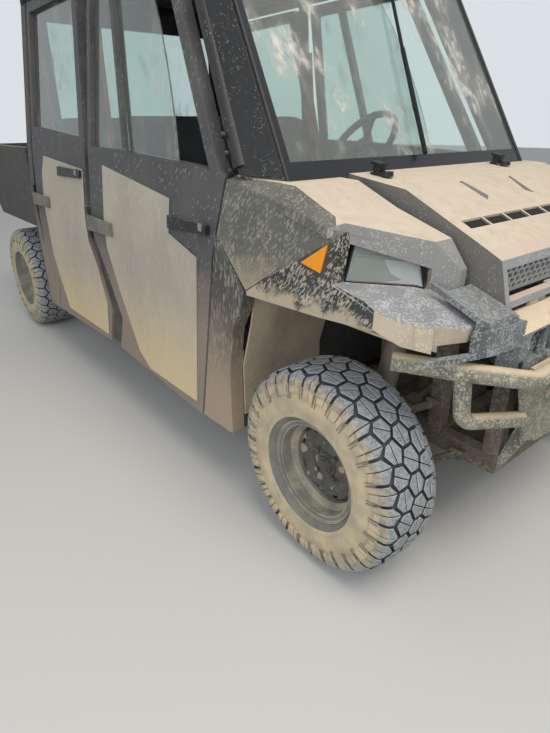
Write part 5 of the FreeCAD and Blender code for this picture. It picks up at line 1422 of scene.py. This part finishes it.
    def bracket(self) -> None:
        """The A-shaped ribs over the lower mesh with a square clip at each top, and two small sockets."""
        face = self.fascia_face
        ribs, clips, sockets = bmesh.new(), bmesh.new(), bmesh.new()
        for sign in (1.0, -1.0):
            for lean, half in self.rib_legs:
                top, foot = sign * self.rib_place, sign * (self.rib_place + lean)
                add_plate(ribs, [
                    (face - 0.018, top - self.rib_half, self.rib_top),
                    (face - 0.018, top + self.rib_half, self.rib_top),
                    (face - 0.002, foot + half, self.rib_foot),
                    (face - 0.002, foot - half, self.rib_foot)], (-0.012, 0.0, 0.0))
            y = sign * self.clip_place
            add_box(clips, (face - 0.022, y - 0.019, 0.806), (face - 0.006, y + 0.019, 0.838))
            add_box(clips, (face - 0.010, y - 0.010, 0.813), (face - 0.002, y + 0.010, 0.831))
            y = sign * self.socket_place
            add_box(sockets, (face - 0.006, y - 0.010, 0.716), (face + 0.0006, y + 0.010, 0.738))
        for side in clips.faces:
            side.material_index = 1 if side.calc_center_median().x > face - 0.004 else 0
        show("fascia_ribs", from_bmesh(ribs), "chassis", [SPATTERED])
        piece = show("fascia_clips", from_bmesh(clips), "chassis", [SPATTERED, NOSE_FRONT])
        rounded(piece, 2.0)
        show("fascia_sockets", from_bmesh(sockets), "chassis", [GAP_BLACK])

    def lamp(self, side: str, sign: float) -> None:
        """Inside a lamp: a silver shell just under the lens, with a near-white bar along its middle,
        a painted highlight.

        Args:
            side: left or right.
            sign: one for left, minus one for right.
        """
        work = cad_copy("headlamps")
        other = [face for face in work.faces if face.calc_center_median().y * sign < 0]
        bmesh.ops.delete(work, geom=other, context="FACES")
        bmesh.ops.recalc_face_normals(work, faces=work.faces)
        work.normal_update()
        for vert in work.verts:
            vert.co -= vert.normal * self.shell_inset
        shell = len(work.faces)
        start, end = [(FRONT_AXLE + ahead, sign * across, up) for ahead, across, up in self.highlight_bar]
        add_bar(work, start, end, 0.0058, 16)
        refinish(work, shell, 1)
        show(f"lamp_shell_{side}", from_bmesh(work, 20.0), "chassis", [LAMP_SHELL, LAMP_HIGHLIGHT])

    def gaskets(self) -> bmesh.types.BMesh:
        """A dark gasket round each lamp's outer edge."""
        lens = cad_copy("headlamps")
        work = bmesh.new()
        for edge in lens.edges:
            if not edge.is_manifold or edge.calc_face_angle(0.0) <= 0.5:
                continue
            start, end = (tuple(vert.co) for vert in edge.verts)
            outside = min(abs(start[1]), abs(end[1])) > 0.50 and min(start[0], end[0]) > FRONT_AXLE + 0.045
            if outside and edge.calc_length() > 0.01:
                add_bar(work, start, end, self.gasket_radius, 8)
        lens.free()
        return work

    def build(self) -> None:
        """Dress the nose."""
        painted("hood", "hood_skin", [HOOD_SIDE, PANEL_TOP, NOSE_FRONT, NOSE_TOP], 4.0,
                self.hood_region)
        painted("front_fenders", "fender_skins", [PANEL_SIDE, PANEL_TOP, FLARE, BROW, SHELF, CORNER, LINER],
                4.0, self.fender_region)
        painted("front_fascia", "fascia_skin", [SPATTERED, BAND], 1.2, self.fascia_region, 40.0)
        soften("footwell_sides", FOOTWELL, 8.0)
        soften("wheel_arch_liners", LINER, 2.0)
        painted("hood_fittings", "nose_mesh", [MESH, LATCH_RUBBER], 0.6,
                self.fitting_region, 40.0)
        soften("brush_guard", GUARD_PAINT, 2.0, 40.0)
        soften("headlamps", LENS, 4.0, 15.0)
        soften("side_markers", AMBER, 1.5)
        show("hood_latches", from_bmesh(self.latches()), "hood_lid", [LATCH_RUBBER])
        show("hood_scoops", from_bmesh(self.scoops()), "hood_lid", [HOOD_SIDE])
        for side, sign in SIDES:
            seam, plate = from_bmesh(self.seams(sign), 60.0), from_bmesh(self.marker(sign))
            show(f"fender_seam_{side}", seam, "chassis", [GAP_BLACK])
            show(f"marker_plate_{side}", plate, "chassis", [BLACK_MOULDING])
            self.lamp(side, sign)
        show("lamp_gaskets", from_bmesh(self.gaskets(), 60.0), "chassis", [GAP_BLACK])
        self.backing()
        self.bracket()


# Doors


@dataclass
class Doors:
    """The four doors with their inset panels, glass, handles and hinge covers."""

    skin: float = 0.745
    waist_height: float = 0.9
    # how much the skin leans in above the waist, and how far its inset panel stands out
    lean: float = 0.1
    panel_rise: float = 0.0035
    # the hinge straps and barrels lie behind these places, the handles ahead of them
    front_strap: float = 0.40
    rear_strap: float = -0.50
    # along, up: the middle of each lock
    front_lock: Pair = (FRONT_AXLE - 0.516, 0.991)
    rear_lock: Pair = (FRONT_AXLE - 1.596, 1.091)

    def across(self, up: float) -> float:
        """How far the door's skin stands out at a height."""
        return self.skin - max(0.0, up - self.waist_height) * self.lean

    def region(self, face: bmesh.types.BMFace) -> int:
        """Nought for a door's frame, one for its raised panel."""
        middle = face.calc_center_median()
        raised = abs(middle.y) > self.across(middle.z) + self.panel_rise and abs(face.normal.y) > 0.7
        return 1 if raised else 0

    def fitting_region(self, strap: float, face: bmesh.types.BMFace) -> int:
        """Nought for a door's handle, one for its hinge, which lies behind the place given."""
        return 1 if face.calc_center_median().x < strap else 0

    def lock(self, place: Pair, sign: float) -> bmesh.types.BMesh:
        """The lock cylinder with its collar in the handle's front end.

        Args:
            place: its middle, along and up.
            sign: one for left, minus one for right.

        Returns:
            The working mesh.
        """
        x, z = place
        out = self.across(z) + 0.012
        work = bmesh.new()
        add_bar(work, (x, sign * (out - 0.008), z), (x, sign * (out + 0.0045), z), 0.019, 32, 0.017)
        collar = len(work.faces)
        add_bar(work, (x, sign * out, z), (x, sign * (out + 0.0058), z), 0.0115, 32)
        refinish(work, collar, 1)
        return work

    def build(self) -> None:
        """Dress every door."""
        for side, sign in SIDES:
            for end, strap, place in (("front", self.front_strap, self.front_lock),
                                      ("rear", self.rear_strap, self.rear_lock)):
                painted(f"{end}_door_shell_{side}", f"{end}_door_skin_{side}", [DOOR_FRAME, DOOR_SKIN],
                        3.0, self.region)
                dress(f"{end}_door_glass_{side}", WINDOW)
                painted(f"{end}_door_fittings_{side}", f"{end}_door_hardware_{side}",
                        [BLACK_COAT, HINGE_COVER], 4.0, partial(self.fitting_region, strap))
                show(f"{end}_lock_{side}", from_bmesh(self.lock(place, sign), 40.0), f"{end}_door_{side}",
                     [BLACK_COAT, LOCK_STEEL])


# Cab


@dataclass
class Cab:
    """Cage, screen, roof, seats and controls."""

    # the place of each bench's front edge
    front_row: float = 0.500
    rear_row: float = -0.260
    # the lowest and highest corner of a bench's cushion and back, from its front edge
    cushion: tuple[Point, Point] = ((-0.520, -0.628, 0.641), (0.0, 0.628, 0.770))
    back: tuple[Point, Point] = ((-0.628, -0.563, 0.655), (-0.525, 0.563, 1.328))
    # the cushion: how far its edges droop, and the place, width and depth of its sewn channels
    cushion_droop: float = 0.030
    channels: Pair = (-0.36, 0.36)
    channel_width: float = 0.035
    channel_depth: float = 0.016
    # the back: how far its foot stands forward, how far its top leans back from there, its crown
    back_foot: float = 0.050
    back_lean: float = 0.055
    back_crown: float = 0.022
    # the screen's printed border, as shares of its height and of its width, and the rubber round it
    border_foot: float = 0.075
    border_head: float = 0.965
    border_side: float = 0.022
    rubber_radius: float = 0.006
    # the first nut of a pillar's foot, the step along and up to the next, a nut's height and radii
    nut: Point = (FRONT_AXLE - 0.436, 0.700, 1.262)
    nut_step: Pair = (0.016, -0.050)
    nut_height: float = 0.012
    nut_radius: float = 0.011
    nut_tip: float = 0.008
    # a belt: along from its post, across and up, of its top, its tongue and its foot
    belt_posts: Pair = (-0.055, -0.800)
    belt_line: tuple[Point, ...] = ((0.0, 0.590, 1.640), (0.030, 0.602, 1.180), (0.075, 0.640, 0.720))
    belt_half: float = 0.023
    belt_depth: float = 0.0015
    tongue_half: Point = (0.028, 0.006, 0.030)
    pod_lean: float = -12.0

    def seat(self, row: str, front: float) -> None:
        """One bench: a crowned cushion with sewn channels and a crowned back, over the CAD bench.

        Args:
            row: front or rear.
            front: the place of its front edge.
        """
        for part, corners in (("cushion", self.cushion), ("back", self.back)):
            low, high = [(front + along, across, up) for along, across, up in corners]
            work = bmesh.new()
            add_box(work, low, high)
            bmesh.ops.subdivide_edges(work, edges=work.edges, cuts=7, use_grid_fill=True)
            size = Vector(high) - Vector(low)
            middle = (Vector(low) + Vector(high)) / 2
            for vert in work.verts:
                share = [(vert.co[axis] - middle[axis]) / (size[axis] / 2) for axis in range(3)]
                if part == "cushion" and share[2] > 0:
                    droop = max(abs(share[0]), abs(share[1])) ** 6
                    groove = sum(math.exp(-((share[1] - place) / self.channel_width) ** 2)
                                 for place in self.channels)
                    vert.co.z -= self.cushion_droop * droop + self.channel_depth * groove * share[2]
                if part == "back":
                    lean = (vert.co.z - low[2]) / size.z
                    vert.co.x -= self.back_lean * lean - self.back_foot
                    if share[0] > 0:
                        vert.co.x -= self.back_crown * max(abs(share[1]), abs(share[2])) ** 6
            piece = show(f"{row}_seat_{part}", from_bmesh(work, 80.0), "chassis", [SEAT_CLOTH],
                         [f"{row}_seat"])
            fine = piece.modifiers.new("smooth", "SUBSURF")
            fine.levels = 2
            fine.render_levels = 2

    def screen_edge(self) -> None:
        """The windscreen's black printed border and its rubber, laid on the glass's own outer face."""
        glass = cad_copy("windscreen")
        glass.normal_update()
        outer = max(glass.faces, key=lambda face: face.calc_area() * (1 if face.normal.x > 0 else 0))
        lift = outer.normal * 0.0008
        corners = sorted((vert.co + lift for vert in outer.verts), key=lambda corner: corner.y)
        glass.free()
        foot = [corner for corner in corners if corner.z < 1.5]
        head = [corner for corner in corners if corner.z >= 1.5]

        def at(across: float, up: float) -> Vector:
            """A place on the glass.

            Args:
                across: the share of its width, from the right.
                up: the share of its height.

            Returns:
                The point.
            """
            return foot[0].lerp(foot[-1], across).lerp(head[0].lerp(head[-1], across), up)

        side, low, high = self.border_side, self.border_foot, self.border_head
        work = bmesh.new()
        for u0, v0, u1, v1 in ((0.0, 0.0, 1.0, low), (0.0, high, 1.0, 1.0), (0.0, low, side, high),
                               (1.0 - side, low, 1.0, high)):
            work.faces.new([work.verts.new(at(u, v)) for u, v in ((u0, v0), (u1, v0), (u1, v1), (u0, v1))])
        show("screen_border", from_bmesh(work), "chassis", [FRIT])
        rubber = bmesh.new()
        round_it = [tuple(at(u, v)) for u, v in ((0, 0), (1, 0), (1, 1), (0, 1), (0, 0))]
        for start, end in zip(round_it, round_it[1:]):
            add_bar(rubber, start, end, self.rubber_radius, 10)
        show("screen_rubber", from_bmesh(rubber, 60.0), "chassis", [LATCH_RUBBER])

    def pillar_nuts(self) -> bmesh.types.BMesh:
        """Cap nuts at the foot of each screen pillar's cover."""
        work = bmesh.new()
        along, across, up = self.nut
        for sign in (1.0, -1.0):
            for step in range(3):
                x, z = along + self.nut_step[0] * step, up + self.nut_step[1] * step
                start, end = [(x, sign * (across + rise), z) for rise in (0.0, self.nut_height)]
                add_bar(work, start, end, self.nut_radius, 16, self.nut_tip)
        return work

    def belts(self) -> None:
        """Shoulder belts that hang from each door post, with their tongues."""
        work = bmesh.new()
        tongues = bmesh.new()
        half = self.belt_half
        for post in self.belt_posts:
            for sign in (1.0, -1.0):
                line = [(post + along, sign * across, up) for along, across, up in self.belt_line]
                for (x0, y0, z0), (x1, y1, z1) in zip(line, line[1:]):
                    add_plate(work, [(x0 - half, y0, z0), (x0 + half, y0, z0),
                                     (x1 + half, y1, z1), (x1 - half, y1, z1)],
                              (0.0, -sign * self.belt_depth, 0.0))
                middle, reach = Vector(line[1]), Vector(self.tongue_half)
                add_box(tongues, tuple(middle - reach), tuple(middle + reach))
        show("belt_webs", from_bmesh(work), "chassis", [BELT_WEB])
        piece = show("belt_tongues", from_bmesh(tongues), "chassis", [LATCH_RUBBER])
        rounded(piece, 3.0)

    def dash_trim(self) -> None:
        """An instrument pod with its face, and a grab rail, on the dashboard."""
        work = bmesh.new()
        add_box(work, (0.800, 0.235, 1.070), (0.900, 0.445, 1.150), self.pod_lean)
        add_bar(work, (0.792, -0.520, 1.030), (0.792, -0.220, 1.030), 0.011, 16)
        piece = show("dash_trim", from_bmesh(work, 40.0), "chassis", [CABIN_PLASTIC])
        rounded(piece, 8.0, 3)
        face = bmesh.new()
        add_box(face, (0.792, 0.255, 1.085), (0.797, 0.425, 1.138), self.pod_lean)
        show("instrument_face", from_bmesh(face), "chassis", [GAUGE])

    def build(self) -> None:
        """Dress the cab."""
        soften("roll_cage", BLACK_COAT, 2.0, 40.0)
        soften("cab_tub", BLACK_MOULDING, 2.0)
        soften("rear_corner_panels", DOOR_FRAME, 2.0)
        soften("roof", BLACK_MOULDING, 8.0)
        dress("windscreen", SCREEN)
        soften("rear_wall", BLACK_MOULDING, 2.0)
        dress("rear_window", WINDOW)
        soften("dashboard", CABIN_PLASTIC, 8.0)
        soften("seat_bases", CABIN_PLASTIC, 4.0)
        dress("steering_column", BLACK_COAT)
        soften("steering_wheel", CABIN_PLASTIC, 2.0, 50.0)
        soften("wiper", GAP_BLACK, 1.0, 40.0)
        self.seat("front", self.front_row)
        self.seat("rear", self.rear_row)
        self.screen_edge()
        show("pillar_nuts", from_bmesh(self.pillar_nuts(), 40.0), "chassis", [BLACK_COAT])
        self.belts()
        self.dash_trim()


# Running gear and load bed


@dataclass
class RunningGear:
    """Frame, suspension, shafts, power unit and hitch."""

    def build(self) -> None:
        """Dress the running gear."""
        soften("chassis_frame", FRAME_MUD, 3.0)
        soften("suspension_arms", FRAME_MUD, 1.0, 50.0)
        dress("shock_absorbers", SPRING_STEEL)
        dress("drive_shafts", FRAME_MUD)
        soften("rear_hub_carriers", CAST_IRON, 5.0)
        soften("knuckle_front_left", CAST_IRON, 5.0)
        soften("knuckle_front_right", CAST_IRON, 5.0)
        soften("power_unit", CAST_IRON, 8.0)
        dress("silencer", SILENCER_SHEET)
        soften("tow_hitch", FRAME_MUD, 1.5)


@dataclass
class LoadBed:
    """The tipping bed, its lamps and its gate."""

    def build(self) -> None:
        """Dress the bed."""
        soften("cargo_bed", BLACK_MOULDING, 5.0)
        soften("tailgate", BLACK_MOULDING, 4.0)
        soften("tail_lamps", RED, 3.0)


# Studio


@dataclass
class Studio:
    """Floor, lamps, world and the camera at the photograph's place."""

    place: Point = (2.371, -1.631, 1.291)
    yaw: float = 50.92
    pitch: float = 24.98
    roll: float = -0.336
    lens: float = 25.55
    floor_reach: float = 30.0
    sky: str = "#E6EBF0"
    # the surround's strength for the light that it gives, and as it is seen and mirrored
    sky_light: float = 0.55
    sky_seen: float = 0.9

    def camera(self) -> None:
        """Set the camera where the photograph was taken from."""
        data = bpy.data.cameras.new("camera")
        data.lens = self.lens
        data.sensor_width = 36.0
        data.sensor_fit = "AUTO"
        data.clip_end = 100.0
        camera = bpy.data.objects.new("camera", data)
        yaw, pitch, roll = (math.radians(angle) for angle in (self.yaw, self.pitch, self.roll))
        level = math.cos(pitch)
        ahead = Vector((-math.sin(yaw) * level, math.cos(yaw) * level, -math.sin(pitch)))
        right = ahead.cross(Vector((0, 0, 1))).normalized()
        up = right.cross(ahead)
        across = right * math.cos(roll) + up * math.sin(roll)
        above = up * math.cos(roll) - right * math.sin(roll)
        turn = Matrix((across, above, -ahead)).transposed()
        camera.matrix_world = Matrix.Translation(self.place) @ turn.to_4x4()
        bpy.context.scene.collection.objects.link(camera)
        bpy.context.scene.camera = camera

    def floor(self) -> None:
        """A wide plain floor."""
        mesh = bpy.data.meshes.new("floor")
        reach = self.floor_reach
        corners = [(-reach, -reach, 0), (reach, -reach, 0), (reach, reach, 0), (-reach, reach, 0)]
        mesh.from_pydata(corners, [], [(0, 1, 2, 3)])
        mesh.materials.append(Plain("studio_floor", "#C9C8C4", 0.9).build())
        floor = bpy.data.objects.new("floor", mesh)
        bpy.context.scene.collection.objects.link(floor)

    def lamp(self, name: str, place: Point, aim: Point, size: float, power: float, tint: str) -> None:
        """One square area lamp.

        Args:
            name: its name.
            place: where it hangs.
            aim: the point that it shines at.
            size: the length of its side.
            power: its power in watts.
            tint: its sRGB hex colour.
        """
        data = bpy.data.lights.new(name, "AREA")
        data.size = size
        data.energy = power
        data.color = linear(tint)[:3]
        lamp = bpy.data.objects.new(name, data)
        lamp.location = place
        lamp.rotation_mode = "QUATERNION"
        lamp.rotation_quaternion = (Vector(aim) - Vector(place)).to_track_quat("-Z", "Y")
        bpy.context.scene.collection.objects.link(lamp)

    def world(self) -> None:
        """An even pale surround."""
        world = bpy.data.worlds.new("surround")
        world.use_nodes = True
        tree = world.node_tree
        back = tree.nodes["Background"]
        back.inputs["Color"].default_value = linear(self.sky)
        path = add_node(tree, "ShaderNodeLightPath").outputs
        seen = sum_of(tree, path["Is Camera Ray"], path["Is Glossy Ray"], path["Is Transmission Ray"])
        level = add_node(tree, "ShaderNodeMapRange", {"Value": seen}, {
            "To Min": self.sky_light, "To Max": self.sky_seen})
        tree.links.new(level.outputs[0], back.inputs["Strength"])
        bpy.context.scene.world = world

    def build(self) -> None:
        """Build the studio."""
        bpy.context.scene.view_settings.view_transform = "Standard"
        self.camera()
        self.floor()
        self.world()
        self.lamp("key", (3.6, -0.8, 5.6), (0.6, 0.0, 0.8), 3.2, 190.0, "#FFF6EA")
        self.lamp("fill", (3.5, -5.0, 3.0), (0.8, 0.0, 0.8), 4.0, 150.0, "#F2F6FF")


def main() -> None:
    """Build every sub-assembly in order."""
    logging.basicConfig(level=logging.INFO, format="%(name)s: %(message)s")
    for part in (Wheels(), Nose(), Doors(), Cab(), RunningGear(), LoadBed(), Studio()):
        part.build()
        LOG.info("built %s", type(part).__name__)


if __name__ == "__main__":
    main()
